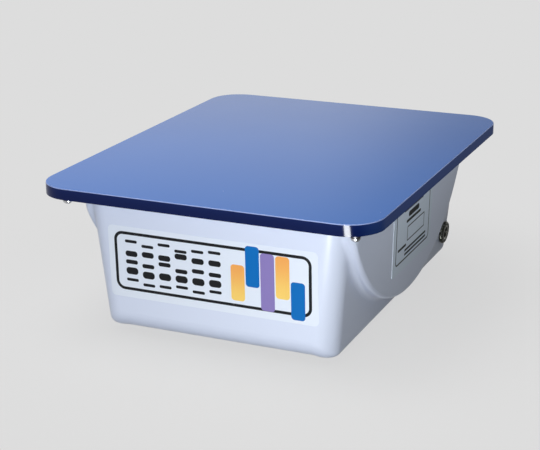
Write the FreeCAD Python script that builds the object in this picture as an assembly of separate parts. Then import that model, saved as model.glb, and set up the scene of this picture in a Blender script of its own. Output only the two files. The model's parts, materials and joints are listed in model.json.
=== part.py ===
import FreeCAD, Part
import math
import os

from FreeCAD import Vector

# A bench transilluminator: a white moulded tub under a blue acrylic viewing plate,
# with two lamps, a reflector and a lamp driver inside.
# The origin is on the surface it stands on, under its middle. +X is right, -Y is the front.

# Viewing plate
plate_width = 228.0
plate_depth = 280.0
plate_thickness = 7.5
plate_corner_radius = 23.0
plate_edge_round = 0.6

# Tub: the body walls, the wider pods on its two long sides, and its rim
tub_height = 91.7
tub_wall = 2.8
side_overhang = 20.2
front_overhang = 20.8
back_overhang = 11.0
side_draft = 5.1
end_draft = 1.55
tub_top_corner_radius = 12.5
tub_floor_corner_radius = 15.0
end_bottom_round = 13.5
side_bottom_round = 4.0
pod_step = 5.1
pod_above_bottom = 11.0
pod_arc_margin = 1.4
pod_convex_round = 2.6
pod_concave_round = 3.4
rim_inset = 9.5
rim_thickness = 2.5

# Gasket between rim and plate
gasket_thickness = 0.8
gasket_margin = 1.0
gasket_mouth_gap = 0.8
gasket_hole_clearance = 1.0

# Screws that hold the plate from below
plate_screw_inset = 16.0
plate_screw_diameter = 3.0
plate_screw_grip = 5.0
flat_washer_diameter = 7.0
flat_washer_thickness = 0.8
lock_washer_diameter = 5.9
lock_washer_thickness = 1.0
lock_washer_slit = 0.8

# Feet
foot_height = 5.0
foot_top_diameter = 17.0
foot_bottom_diameter = 14.5
foot_inset_x = 21.5
foot_inset_y = 27.7
foot_screw_diameter = 3.5
foot_screw_length = 9.0
foot_screw_sink = 0.8
foot_bore_clearance = 0.3
foot_bevel = 0.8
foot_boss_diameter = 10.0
foot_boss_height = 9.0

# Pan heads as shares of the screw's diameter, and their cross recess as shares of the head
screw_head_ratio = 2.0
screw_head_height_ratio = 0.7
screw_crown_ratio = 0.64
screw_side_ratio = 0.45
recess_depth_ratio = 0.55
recess_width_ratio = 0.18
recess_length_ratio = 0.54

# Clearances, and how far a cutting tool passes the face that it cuts
running_clearance = 0.05
through_hole_clearance = 0.4
wall_hole_clearance = 0.4
hole_tip_gap = 0.5
cut_overrun = 1.0

# Reflector tray and diffuser
tray_sheet = 1.0
tray_drop = 8.7
tray_side_gap = 3.0
tray_end_gap = 2.1
tray_end_spread = 9.0
tray_flange = 5.0
tray_lip = 3.5
tray_corner_radius = 6.0
diffuser_thickness = 2.5
diffuser_gap = 0.4
post_height = 36.2
post_inset = 8.2
post_to_socket = 7.0
post_diameter = 10.0
tray_screw_diameter = 3.5
tray_screw_length = 10.0

# Lamps
lamp_spacing = 60.0
lamp_axis_above_tray = 15.0
lamp_tube_diameter = 12.0
lamp_tube_pitch = 15.0
lamp_glass_length = 125.0
lamp_bridge_diameter = 8.0
lamp_bridge_setback = 9.0
lamp_cap_width = 32.0
lamp_cap_height = 18.0
lamp_cap_length = 20.0
lamp_cap_round = 6.3
lamp_cap_front_round = 1.2
lamp_pin_diameter = 2.3
lamp_pin_length = 6.5
lamp_pin_root = 4.0
lamp_pin_count = 4
lamp_pin_pitch = 6.0
socket_length = 15.0
socket_side_gap = 0.2
socket_back_gap = 2.0
socket_width = 36.0
socket_crown = 10.0
socket_crown_round = 5.0
socket_ear = 9.0
socket_ear_round = 3.0
socket_ear_thickness = 3.0
socket_screw_length = 8.0
cable_hole_clearance = 1.4
clip_sheet = 1.0
clip_width = 10.0
clip_jaw_rise = 2.7
clip_screw_length = 7.0
clip_setback = 18.0

# Lamp driver board
board_width = 80.0
board_depth = 120.0
board_thickness = 1.6
board_corner_radius = 2.0
board_standoff = 8.2
board_setback = 48.7
board_hole_inset = 4.5
board_boss_diameter = 7.0
board_screw_diameter = 3.0
board_screw_length = 8.0

# Transformer on the driver board. Each shift is along Y from the board's middle.
core_length = 34.0
core_depth = 12.0
core_height = 24.0
core_leg = 6.0
core_post_diameter = 10.0
winding_gap = 0.3
winding_wall = 4.6
bobbin_flange_reach = 0.8
bobbin_flange_thickness = 1.0
transformer_shift = -6.0

# Can capacitors, each as (x, y shift, diameter, height), and the crimped groove near a can's base
can_places = [(-28.0, 32.0, 13.0, 21.0), (-28.0, 14.0, 13.0, 21.0), (27.0, 34.0, 10.0, 16.0)]
can_groove_low = 1.4
can_groove_width = 1.2
can_groove_depth = 0.5
can_top_bevel = 0.6

# Film capacitors, one on each side of the board
film_x = 28.5
film_shift = -29.0
film_width = 7.0
film_length = 18.0
film_height = 14.0
film_round = 0.8

# Heat sink, and the two power transistors on its plain face
sink_length = 44.0
sink_height = 22.0
sink_fins = 5
sink_web = 2.0
sink_fin_depth = 7.0
sink_shift = -48.0
transistor_spacing = 22.0
transistor_width = 10.0
transistor_tab_thickness = 1.3
transistor_tab_height = 15.5
transistor_case_depth = 3.1
transistor_case_height = 9.2
transistor_leg_height = 4.0
transistor_leg_width = 0.8
transistor_leg_depth = 0.7
transistor_leg_pitch = 2.5
transistor_hole = 3.6
transistor_hole_height = 12.5

# Wire terminals along the board's back edge
terminal_depth = 9.0
terminal_height = 11.0
terminal_wire_height = 4.6
terminal_pitch = 5.5
terminal_end_wall = 0.8
terminal_bevel = 1.6
terminal_well = 3.2
terminal_well_depth = 3.0
output_spacing = 44.0

# Fuse and its clips
fuse_diameter = 5.2
fuse_glass_diameter = 4.6
fuse_length = 20.0
fuse_cap_length = 5.0
fuse_x = 2.0
fuse_shift = 34.0
fuse_above_board = 5.0
fuse_clip_sheet = 0.5
fuse_clip_width = 3.6
fuse_clip_stem = 3.0
fuse_clip_mouth = 4.0

# Power inlet
inlet_from_back = 21.7
inlet_above_floor = 17.4
inlet_ring_diameter = 16.6
inlet_ring_height = 3.0
inlet_knurls = 30
inlet_barrel_diameter = 12.0
inlet_bore = 8.2
inlet_barrel_tail = 9.0
inlet_flange_diameter = 14.6
inlet_flange_thickness = 1.6
inlet_pin_diameter = 2.0
inlet_plug_thickness = 5.0
inlet_nut_across_flats = 15.0
inlet_nut_thickness = 2.5
inlet_tab_thickness = 0.8
inlet_tab_width = 4.0
inlet_tab_offset = 2.0
inlet_tab_length = 7.0
inlet_knurl_depth = 0.35
inlet_ring_bevel = 0.8
inlet_barrel_bevel = 0.6
inlet_pin_tail = 4.0
inlet_pin_setback = 2.0

# Power switch in the back wall
switch_x = 0.0
switch_above_floor = 25.0
switch_body_width = 13.0
switch_body_height = 19.4
switch_body_depth = 13.0
switch_bezel_width = 15.0
switch_bezel_height = 21.5
switch_bezel_thickness = 2.0
switch_window_width = 9.6
switch_window_height = 15.6
switch_travel = 22.0
switch_pivot_diameter = 2.0
switch_pivot_sink = 0.5
switch_rocker_gap = 0.35
switch_rocker_crown = 0.8
switch_rocker_skirt = 15.0
switch_hole_clearance = 0.1
switch_corner_round = 1.5
switch_edge_round = 0.6
switch_base_thickness = 3.0
switch_pivot_wall = 0.6
switch_pivot_end_gap = 0.3
switch_tab_spacing = 10.0
switch_tab_width = 4.8
switch_tab_thickness = 0.8
switch_tab_length = 7.0
switch_tab_hole = 1.6

# Wiring. The ends are the straight lengths at a wire's start and finish. A route's turns are
# (x, distance behind the board, height above the wire entries), and a lamp cable's x is from its entry.
wire_diameter = 1.8
lamp_cable_diameter = 2.6
supply_ends = [10.0, 9.0]
supply_turns = [(42.0, 30.0, 5.3), (24.0, 31.5, 9.8)]
return_ends = [9.0, 10.0]
return_turns = [(44.0, 21.5, 1.8), (27.0, 24.0, -0.2), (12.0, 20.0, -0.7)]
switched_ends = [10.0, 9.0]
switched_turns = [(-19.0, 25.0, 2.3), (-14.0, 14.0, 0.8)]
lamp_cable_ends = [9.5, 9.0]
lamp_cable_turn = (4.0, 18.0, 5.8)

# Labels
label_thickness = 0.25
front_label_end_gap = 3.8
front_label_height = 48.4
front_label_drop = 19.0
front_label_corner = 3.0
side_label_width = 81.0
side_label_height = 47.4
side_label_drop = 13.7
side_label_shift = 0.3
side_label_corner = 2.0

# Levels and slopes worked out from the sizes above
tub_bottom = foot_height
rim_top = tub_bottom + tub_height
rim_bottom = rim_top - rim_thickness
plate_bottom = rim_top + gasket_thickness
plate_top = plate_bottom + plate_thickness
side_slope = math.tan(math.radians(side_draft))
end_slope = math.tan(math.radians(end_draft))
inner_floor = tub_bottom + tub_wall
floor_half_width = plate_width / 2 - side_overhang - pod_step - tub_height * side_slope
floor_half_depth = (plate_depth - front_overhang - back_overhang) / 2 - tub_height * end_slope
pod_drop = tub_height - pod_above_bottom
pod_arc_reach = plate_depth / 2 - front_overhang - pod_arc_margin
pod_arc_radius = (pod_arc_reach ** 2 + pod_drop ** 2) / (2 * pod_drop)

X = Vector(1, 0, 0)
Y = Vector(0, 1, 0)
Z = Vector(0, 0, 1)
MIDDLE = Vector(0, 0, 0)
# The tub stands a little behind the plate's middle
TUB_MIDDLE = Vector(0, (front_overhang - back_overhang) / 2, 0)


def body_half_width(z):
    """Half width of the tub's body, without the pods, at height z."""
    return floor_half_width + (z - tub_bottom) * side_slope


def body_half_depth(z):
    """Half depth of the tub at height z."""
    return floor_half_depth + (z - tub_bottom) * end_slope


def pod_half_width(z):
    """Half width of the tub over the two pods at height z. Pods and end walls share one draft."""
    return body_half_width(rim_top) + pod_step - (rim_top - z) * end_slope


# Places inside the tub, worked out from its walls and from what stands beside each piece
tray_mouth_height = rim_top - tray_drop
flange_bottom = tray_mouth_height - tray_sheet
tray_mouth_half_width = body_half_width(flange_bottom) - tub_wall - tray_side_gap - tray_flange
tray_mouth_half_depth = body_half_depth(flange_bottom) - tub_wall - tray_end_gap - tray_flange
tray_floor_height = inner_floor + post_height
tray_floor_half_width = (lamp_spacing + socket_width) / 2 + socket_ear + socket_side_gap + tray_sheet
tray_floor_half_depth = tray_mouth_half_depth - tray_end_spread
socket_back = TUB_MIDDLE.y + tray_floor_half_depth - tray_sheet - socket_back_gap
lamp_cap_front = socket_back - socket_length - lamp_cap_length
lamp_tip = lamp_cap_front - lamp_glass_length
clip_place = lamp_tip + clip_setback
board_height = inner_floor + board_standoff
board_centre_y = TUB_MIDDLE.y + floor_half_depth - board_setback - board_depth / 2
transformer_y = board_centre_y + transformer_shift
film_y = board_centre_y + film_shift
sink_y = board_centre_y + sink_shift
fuse_y = board_centre_y + fuse_shift
inlet_y = TUB_MIDDLE.y + floor_half_depth - inlet_from_back


def rounded_outline(half_x, half_y, radius, z, centre=MIDDLE):
    """A closed rectangle wire with round corners, level at height z."""
    x = half_x - radius
    y = half_y - radius
    edges = []
    corners = [(x, -y, -90), (x, y, 0), (-x, y, 90), (-x, -y, 180)]
    for index, (cx, cy, start) in enumerate(corners):
        circle = Part.Circle(centre + Vector(cx, cy, z), Z, radius)
        arc = Part.Arc(circle, math.radians(start), math.radians(start + 90)).toShape()
        edges.append(arc)
        nx, ny, after = corners[(index + 1) % 4]
        here = arc.Vertexes[-1].Point
        turn = math.radians(after)
        there = centre + Vector(nx + radius * math.cos(turn), ny + radius * math.sin(turn), z)
        edges.append(Part.makeLine(here, there))
    return Part.Wire(Part.__sortEdges__(edges))


def rounded_slab(half_x, half_y, radius, low, high, centre=MIDDLE):
    """A flat slab with round vertical corners between two heights."""
    outline = rounded_outline(half_x, half_y, radius, low, centre)
    return Part.Face(outline).extrude(Vector(0, 0, high - low))


def tub_block(half_low, radius_low, low, half_high, radius_high, high):
    """A round-cornered block on the tub's middle that widens evenly between two heights."""
    bottom = rounded_outline(half_low[0], half_low[1], radius_low, low, TUB_MIDDLE)
    top = rounded_outline(half_high[0], half_high[1], radius_high, high, TUB_MIDDLE)
    return Part.makeLoft([bottom, top], True, True)


def block(x0, x1, y0, y1, z0, z1):
    """A plain block between six planes."""
    return Part.makeBox(x1 - x0, y1 - y0, z1 - z0, Vector(x0, y0, z0))


def rod(diameter, start, end):
    """A round bar from one point to another."""
    along = end - start
    return Part.makeCylinder(diameter / 2, along.Length, start, along)


def upright(diameter, x, y, low, high):
    """A round bar that stands upright at a place."""
    return rod(diameter, Vector(x, y, low), Vector(x, y, high))


def tube(outer, bore, start, end):
    """A round bar with a hole right through it."""
    return rod(outer, start, end).cut(rod(bore, start, end))


def turned(points, base=MIDDLE, axis=Z):
    """A solid turned from a profile of (radius, height) points, set on base along axis."""
    profile = Part.makePolygon([Vector(r, 0, h) for r, h in points + points[:1]])
    solid = Part.Face(profile).revolve(MIDDLE, Z, 360)
    solid.Placement = FreeCAD.Placement(base, FreeCAD.Rotation(Z, axis))
    return solid


def group(solids):
    """Like pieces kept together in one node as separate solids."""
    return Part.makeCompound(solids)


def mirrored_xy(place_x, place_y, middle_y=0.0):
    """The four places that mirror one point about the planes x = 0 and y = middle_y."""
    return [(sx * place_x, middle_y + sy * place_y) for sx in (-1, 1) for sy in (-1, 1)]


def edges_where(shape, test):
    """The edges of a shape whose middle point passes a test."""
    found = []
    for edge in shape.Edges:
        middle = edge.valueAt((edge.FirstParameter + edge.LastParameter) / 2)
        if test(middle, edge):
            found.append(edge)
    return found


def screw_head(diameter):
    """Diameter and height of a screw's pan head."""
    return screw_head_ratio * diameter, screw_head_height_ratio * diameter


def pan_screw(diameter, length, seat, along):
    """A pan-head screw: seat is the middle of the head's underside, along points to the tip."""
    head, head_height = screw_head(diameter)
    crown = screw_crown_ratio * head / 2
    side = screw_side_ratio * head_height
    points = [(0, 0), (head / 2, 0), (head / 2, side), (crown, head_height), (0, head_height)]
    top = turned(points, seat, along * -1)
    shank = rod(diameter, seat, seat + along * length)
    half_width = recess_width_ratio * head / 2
    half_length = recess_length_ratio * head / 2
    recess_floor = head_height * (1 - recess_depth_ratio)
    top_of_cut = head_height + cut_overrun
    slot = block(-half_width, half_width, -half_length, half_length, recess_floor, top_of_cut)
    cross = slot.fuse(slot.rotated(MIDDLE, Z, 90))
    cross.Placement = FreeCAD.Placement(seat, FreeCAD.Rotation(Z, along * -1))
    return top.fuse(shank).cut(cross).removeSplitter()


def fillet_each(shape, radii):
    """Round several edges, each given as (edge number, radius at its start, radius at its end)."""
    document = FreeCAD.newDocument("rounding")
    base = document.addObject("Part::Feature", "Base")
    base.Shape = shape
    fillet = document.addObject("Part::Fillet", "Fillet")
    fillet.Base = base
    fillet.Edges = radii
    document.recompute()
    result = fillet.Shape.copy()
    FreeCAD.closeDocument(document.Name)
    return result


def round_bottom(shape, low, end_radius, side_radius):
    """Round the bottom edges: wide under the end walls, tight under the side walls."""
    radii = []
    for number, edge in enumerate(shape.Edges, 1):
        first = edge.valueAt(edge.FirstParameter)
        last = edge.valueAt(edge.LastParameter)
        if abs(first.z - low) > 0.01 or abs(last.z - low) > 0.01:
            continue
        along_x = abs(first.y - last.y) < 0.01
        along_y = abs(first.x - last.x) < 0.01
        if along_x:
            radii.append((number, end_radius, end_radius))
        elif along_y:
            radii.append((number, side_radius, side_radius))
        elif abs(first.y) > abs(last.y):
            radii.append((number, end_radius, side_radius))
        else:
            radii.append((number, side_radius, end_radius))
    return fillet_each(shape, radii)


def tub_form(inset, arc_rounds):
    """The closed form of the tub without its rim, moved inwards by inset on every side."""
    low = tub_bottom + inset
    high = rim_top
    corner_low = tub_floor_corner_radius - inset
    corner_high = tub_top_corner_radius - inset
    at_low = (body_half_width(low) - inset, body_half_depth(low) - inset)
    at_high = (body_half_width(high) - inset, body_half_depth(high) - inset)
    body = tub_block(at_low, corner_low, low, at_high, corner_high, high)
    body = round_bottom(body, low, end_bottom_round - inset, side_bottom_round - inset)
    pod_low = (pod_half_width(low) - inset, body_half_depth(low) - inset)
    pod_high = (pod_half_width(high) - inset, body_half_depth(high) - inset)
    pod = tub_block(pod_low, corner_low, low, pod_high, corner_high, high)
    arc_height = rim_top - pod_drop + pod_arc_radius
    reach = plate_width
    start = Vector(-reach / 2, 0, arc_height)
    pod = pod.common(Part.makeCylinder(pod_arc_radius - inset, reach, start, X))
    form = body.fuse(pod).removeSplitter()
    if arc_rounds:
        form = round_pod_arcs(form, body, arc_height)
    return form


def round_pod_arcs(form, body, arc_height):
    """Soften the curved step under each pod, first its outer edge and then its inner corner."""
    def on_arc(point):
        on_cylinder = abs(math.hypot(point.y, point.z - arc_height) - pod_arc_radius) < 0.05
        return on_cylinder and point.z < rim_top - 0.01

    def off_body(point, edge):
        return on_arc(point) and body.distToShape(Part.Vertex(point))[0] > 0.05

    def along_body(point, edge):
        return on_arc(point) and body.distToShape(Part.Vertex(point))[0] < 0.05

    form = form.makeFillet(pod_convex_round, edges_where(form, off_body))
    return form.makeFillet(pod_concave_round, edges_where(form, along_body))


def tub_rim():
    """The flat rim that the plate is screwed to."""
    half_x = plate_width / 2 - rim_inset
    half_y = plate_depth / 2 - rim_inset
    return rounded_slab(half_x, half_y, plate_corner_radius - rim_inset, rim_bottom, rim_top)


def plate_screw_places():
    """Centres of the four plate screws."""
    return mirrored_xy(plate_width / 2 - plate_screw_inset, plate_depth / 2 - plate_screw_inset)


def foot_places():
    """Centres of the four feet."""
    return mirrored_xy(floor_half_width - foot_inset_x, floor_half_depth - foot_inset_y, TUB_MIDDLE.y)


def post_places():
    """Centres of the four posts that carry the reflector tray."""
    back_y = lamp_cap_front + lamp_cap_length - post_to_socket
    return mirrored_xy(tray_floor_half_width - post_inset, back_y - TUB_MIDDLE.y, TUB_MIDDLE.y)


def board_screw_places():
    """Centres of the four screws of the driver board."""
    half_x = board_width / 2 - board_hole_inset
    half_y = board_depth / 2 - board_hole_inset
    return mirrored_xy(half_x, half_y, board_centre_y)


def inlet_frame():
    """Middle of the inlet on the outside of the right wall, and the way it faces."""
    z = tub_bottom + inlet_above_floor
    place = Vector(body_half_width(z), inlet_y, z)
    facing = Vector(math.cos(math.radians(side_draft)), 0, -math.sin(math.radians(side_draft)))
    return place, facing


def switch_placement():
    """Placement of the switch: local +Z points out of the back wall, local +Y points up."""
    z = tub_bottom + switch_above_floor
    place = Vector(switch_x, TUB_MIDDLE.y + body_half_depth(z), z)
    turn = FreeCAD.Rotation(Vector(-1, 0, 0), Vector(0, 0, 1), Vector(0, 1, 0), "XYZ")
    lean = FreeCAD.Rotation(X, -end_draft)
    return FreeCAD.Placement(place, lean.multiply(turn))


def housing_tub():
    """The moulded tub: outer form less inner form, rim, bosses and holes."""
    outer = tub_form(0, True)
    inner = tub_form(tub_wall, False)
    tub = outer.fuse(tub_rim()).cut(inner)
    sunk = inner_floor - tub_wall / 2
    for x, y in foot_places():
        tub = tub.fuse(upright(foot_boss_diameter, x, y, sunk, inner_floor + foot_boss_height))
    for x, y in post_places():
        tub = tub.fuse(upright(post_diameter, x, y, sunk, tray_floor_height))
    for x, y in board_screw_places():
        tub = tub.fuse(upright(board_boss_diameter, x, y, sunk, board_height))
    for hole in tub_holes():
        tub = tub.cut(hole)
    return tub.removeSplitter()


def tub_holes():
    """Tools that cut the tub's screw holes, inlet hole and switch opening."""
    holes = []
    tight = 2 * running_clearance
    for x, y in plate_screw_places():
        width = plate_screw_diameter + through_hole_clearance
        holes.append(upright(width, x, y, rim_bottom - cut_overrun, rim_top + cut_overrun))
    for x, y in foot_places():
        top = foot_head_seat() + foot_screw_length + hole_tip_gap
        holes.append(upright(foot_screw_diameter + tight, x, y, tub_bottom - cut_overrun, top))
    for x, y in post_places():
        bottom = tray_top() - tray_screw_length - hole_tip_gap
        holes.append(upright(tray_screw_diameter + tight, x, y, bottom, tray_floor_height + cut_overrun))
    for x, y in board_screw_places():
        bottom = board_top() - board_screw_length - hole_tip_gap
        holes.append(upright(board_screw_diameter + tight, x, y, bottom, board_height + cut_overrun))
    reach = 2 * tub_wall
    place, facing = inlet_frame()
    width = inlet_barrel_diameter + wall_hole_clearance
    holes.append(rod(width, place - facing * reach, place + facing * reach))
    half_x = switch_body_width / 2 + switch_hole_clearance
    half_y = switch_body_height / 2 + switch_hole_clearance
    opening = block(-half_x, half_x, -half_y, half_y, -reach, reach)
    opening.Placement = switch_placement()
    holes.append(opening)
    return holes


def filter_plate():
    """The blue acrylic plate, with blind tapped holes in its underside."""
    plate = rounded_slab(plate_width / 2, plate_depth / 2, plate_corner_radius, plate_bottom, plate_top)
    for x, y in plate_screw_places():
        width = plate_screw_diameter + 2 * running_clearance
        top = plate_bottom + plate_screw_grip + hole_tip_gap
        plate = plate.cut(upright(width, x, y, plate_bottom - cut_overrun, top))
    rims = edges_where(plate, lambda p, e: abs(p.z - plate_top) < 0.01)
    return plate.makeFillet(plate_edge_round, rims)


def plate_gasket():
    """The thin foam gasket between rim and plate."""
    inset = rim_inset + gasket_margin
    ring = rounded_slab(plate_width / 2 - inset, plate_depth / 2 - inset,
                        plate_corner_radius - inset, rim_top, plate_bottom)
    mouth = rounded_slab(pod_half_width(rim_top) - tub_wall + gasket_mouth_gap,
                         body_half_depth(rim_top) - tub_wall + gasket_mouth_gap,
                         tub_top_corner_radius, rim_top - cut_overrun, plate_bottom + cut_overrun,
                         TUB_MIDDLE)
    ring = ring.cut(mouth)
    for x, y in plate_screw_places():
        width = plate_screw_diameter + gasket_hole_clearance
        ring = ring.cut(upright(width, x, y, rim_top - cut_overrun, plate_bottom + cut_overrun))
    return ring


def plate_washers():
    """A flat washer and a lock washer under each plate screw."""
    washers = []
    bore = plate_screw_diameter + through_hole_clearance
    half_slit = lock_washer_slit / 2
    for x, y in plate_screw_places():
        flat = rim_bottom - flat_washer_thickness
        lock = flat - lock_washer_thickness
        washers.append(tube(flat_washer_diameter, bore, Vector(x, y, flat), Vector(x, y, rim_bottom)))
        split = tube(lock_washer_diameter, bore, Vector(x, y, lock), Vector(x, y, flat))
        slit = block(x, x + lock_washer_diameter, y - half_slit, y + half_slit, lock, flat)
        washers.append(split.cut(slit))
    return group(washers)


def plate_screws():
    """Four screws up through washers, rim and gasket into the plate."""
    seat = rim_bottom - flat_washer_thickness - lock_washer_thickness
    length = plate_bottom + plate_screw_grip - seat
    return group([pan_screw(plate_screw_diameter, length, Vector(x, y, seat), Z)
                  for x, y in plate_screw_places()])


def foot_head_seat():
    """Height of the shoulder inside a foot that its screw head presses on."""
    head, head_height = screw_head(foot_screw_diameter)
    return head_height + foot_screw_sink


def feet():
    """Four rubber feet, each with a sunk seat for its screw."""
    made = []
    low = foot_bottom_diameter / 2
    high = foot_top_diameter / 2
    head, head_height = screw_head(foot_screw_diameter)
    sink = head / 2 + foot_bore_clearance
    bore = (foot_screw_diameter + through_hole_clearance) / 2
    for x, y in foot_places():
        points = [(sink, 0), (low - foot_bevel, 0), (low, foot_bevel), (high, foot_height),
                  (bore, foot_height), (bore, foot_head_seat()), (sink, foot_head_seat())]
        made.append(turned(points, Vector(x, y, 0)))
    return group(made)


def foot_screws():
    """One screw up through each foot into its boss in the tub."""
    seat = foot_head_seat()
    return group([pan_screw(foot_screw_diameter, foot_screw_length, Vector(x, y, seat), Z)
                  for x, y in foot_places()])


def reflector_tray():
    """The folded reflector: floor, sloping walls, flange and upturned lip."""
    floor_half = (tray_floor_half_width, tray_floor_half_depth)
    mouth_half = (tray_mouth_half_width, tray_mouth_half_depth)
    r = tray_corner_radius
    outer = tub_block(floor_half, r, tray_floor_height, mouth_half, r, tray_mouth_height)
    t = tray_sheet
    inner_floor_half = (floor_half[0] - t, floor_half[1] - t)
    inner_mouth_half = (mouth_half[0] - t, mouth_half[1] - t)
    inner = tub_block(inner_floor_half, r - t, tray_floor_height + t,
                      inner_mouth_half, r - t, tray_mouth_height + t)
    flange_half = (mouth_half[0] + tray_flange, mouth_half[1] + tray_flange)
    lip_top = tray_mouth_height + tray_lip
    frame = rounded_slab(flange_half[0], flange_half[1], tray_corner_radius + tray_flange,
                         tray_mouth_height - t, lip_top, TUB_MIDDLE)
    hollow = rounded_slab(flange_half[0] - t, flange_half[1] - t, tray_corner_radius + tray_flange - t,
                          tray_mouth_height, lip_top + cut_overrun, TUB_MIDDLE)
    tray = outer.fuse(frame.cut(hollow)).cut(inner)
    for x, y in post_places():
        width = tray_screw_diameter + through_hole_clearance
        tray = tray.cut(upright(width, x, y, tray_floor_height - cut_overrun, tray_top() + cut_overrun))
    for hole in tray_fixing_holes():
        tray = tray.cut(hole)
    return tray.removeSplitter()


def tray_top():
    """Height of the upper face of the tray's floor."""
    return tray_floor_height + tray_sheet


def lamp_axis():
    """Height of the lamps' axes."""
    return tray_top() + lamp_axis_above_tray


def lamp_places():
    """X places of the two lamps, right lamp first."""
    return [lamp_spacing / 2, -lamp_spacing / 2]


def socket_screw_places():
    """Centres of the two screws of each lamp socket."""
    y = lamp_cap_front + lamp_cap_length + socket_length / 2
    reach = (socket_width + socket_ear) / 2
    return [(x + side * reach, y) for x in lamp_places() for side in (-1, 1)]


def cable_places():
    """Where each lamp cable comes up through the tray into its socket."""
    y = lamp_cap_front + lamp_cap_length + socket_length / 2
    return [(x, y) for x in lamp_places()]


def tray_fixing_holes():
    """Tools for the holes of sockets, lamp clips and lamp cables in the tray."""
    holes = []
    low = tray_floor_height - cut_overrun
    high = tray_top() + cut_overrun
    for x, y in socket_screw_places() + [(x, clip_place) for x in lamp_places()]:
        holes.append(upright(board_screw_diameter + 2 * running_clearance, x, y, low, high))
    for x, y in cable_places():
        holes.append(upright(lamp_cable_diameter + cable_hole_clearance, x, y, low, high))
    return holes


def reflector_screws():
    """Four screws that hold the tray on its posts."""
    seat = tray_top()
    return group([pan_screw(tray_screw_diameter, tray_screw_length, Vector(x, y, seat), Z * -1)
                  for x, y in post_places()])


def diffuser_sheet():
    """The opal sheet that lies on the tray's flange inside its lip."""
    grow = tray_flange - tray_sheet - diffuser_gap
    radius = tray_corner_radius + grow
    return rounded_slab(tray_mouth_half_width + grow, tray_mouth_half_depth + grow, radius,
                        tray_mouth_height, tray_mouth_height + diffuser_thickness, TUB_MIDDLE)


def lamp_tube(x):
    """The twin glass tube of a lamp, with its bridge near the tips."""
    z = lamp_axis()
    radius = lamp_tube_diameter / 2
    glass = None
    for side in (-1, 1):
        cx = x + side * lamp_tube_pitch / 2
        centre = Vector(cx, lamp_tip + radius, z)
        leg = rod(lamp_tube_diameter, centre, Vector(cx, lamp_cap_front, z))
        leg = leg.fuse(Part.makeSphere(radius, centre))
        glass = leg if glass is None else glass.fuse(leg)
    y = lamp_tip + lamp_bridge_setback
    half = lamp_tube_pitch / 2
    bridge = rod(lamp_bridge_diameter, Vector(x - half, y, z), Vector(x + half, y, z))
    return glass.fuse(bridge).removeSplitter()


def lamp_cap(x):
    """The moulded cap of a lamp, with round long edges and a narrower plug end."""
    z = lamp_axis()
    y0 = lamp_cap_front
    y1 = lamp_cap_front + lamp_cap_length
    half_x = lamp_cap_width / 2
    half_z = lamp_cap_height / 2
    cap = block(x - half_x, x + half_x, y0, y1, z - half_z, z + half_z)
    long_edges = edges_where(cap, lambda p, e: abs(p.y - (y0 + y1) / 2) < 0.1)
    cap = cap.makeFillet(lamp_cap_round, long_edges)
    front_edges = edges_where(cap, lambda p, e: abs(p.y - y0) < 0.01)
    cap = cap.makeFillet(lamp_cap_front_round, front_edges)
    width = lamp_pin_diameter + 2 * running_clearance
    for shift in lamp_pin_shifts():
        root = Vector(x + shift, y1 - lamp_pin_root, z)
        cap = cap.cut(rod(width, root, root + Y * (lamp_pin_root + cut_overrun)))
    return cap


def lamp_pin_shifts():
    """X shifts of a lamp's pins from its middle."""
    return [lamp_pin_pitch * (index - (lamp_pin_count - 1) / 2) for index in range(lamp_pin_count)]


def lamp_pins():
    """The four contact pins of each lamp, half in the cap and half in the socket."""
    pins = []
    y = lamp_cap_front + lamp_cap_length
    z = lamp_axis()
    for x in lamp_places():
        for shift in lamp_pin_shifts():
            pins.append(rod(lamp_pin_diameter, Vector(x + shift, y - lamp_pin_root, z),
                            Vector(x + shift, y + lamp_pin_length, z)))
    return group(pins)


def lamp_socket(x):
    """A lamp socket on the tray: block with round crown, pin holes, ears and cable well."""
    y0 = lamp_cap_front + lamp_cap_length
    y1 = socket_back
    low = tray_top()
    top = lamp_axis() + socket_crown
    half = socket_width / 2
    socket = block(x - half, x + half, y0, y1, low, top)
    crown = edges_where(socket, lambda p, e: abs(p.z - top) < 0.01 and abs(p.x - x) > half - 0.1)
    socket = socket.makeFillet(socket_crown_round, crown)
    ears = block(x - half - socket_ear, x + half + socket_ear, y0, y1, low, low + socket_ear_thickness)
    corners = edges_where(ears, lambda p, e: abs(p.z - low - socket_ear_thickness / 2) < 0.1)
    ears = ears.makeFillet(socket_ear_round, corners)
    socket = socket.fuse(ears).removeSplitter()
    z = lamp_axis()
    for shift in lamp_pin_shifts():
        mouth = Vector(x + shift, y0 - cut_overrun, z)
        depth = cut_overrun + lamp_pin_length + hole_tip_gap
        socket = socket.cut(rod(lamp_pin_diameter + 2 * running_clearance, mouth, mouth + Y * depth))
    width = board_screw_diameter + through_hole_clearance
    for cx, cy in socket_screw_places():
        high = low + socket_ear_thickness + cut_overrun
        socket = socket.cut(upright(width, cx, cy, low - cut_overrun, high))
    return socket


def socket_screws():
    """Two screws through the ears of each socket, with their tips under the tray."""
    seat = tray_top() + socket_ear_thickness
    return group([pan_screw(board_screw_diameter, socket_screw_length, Vector(x, y, seat), Z * -1)
                  for x, y in socket_screw_places()])


def clip_foot_top():
    """Height of the upper face of a lamp clip's foot."""
    return tray_top() + clip_sheet


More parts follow.
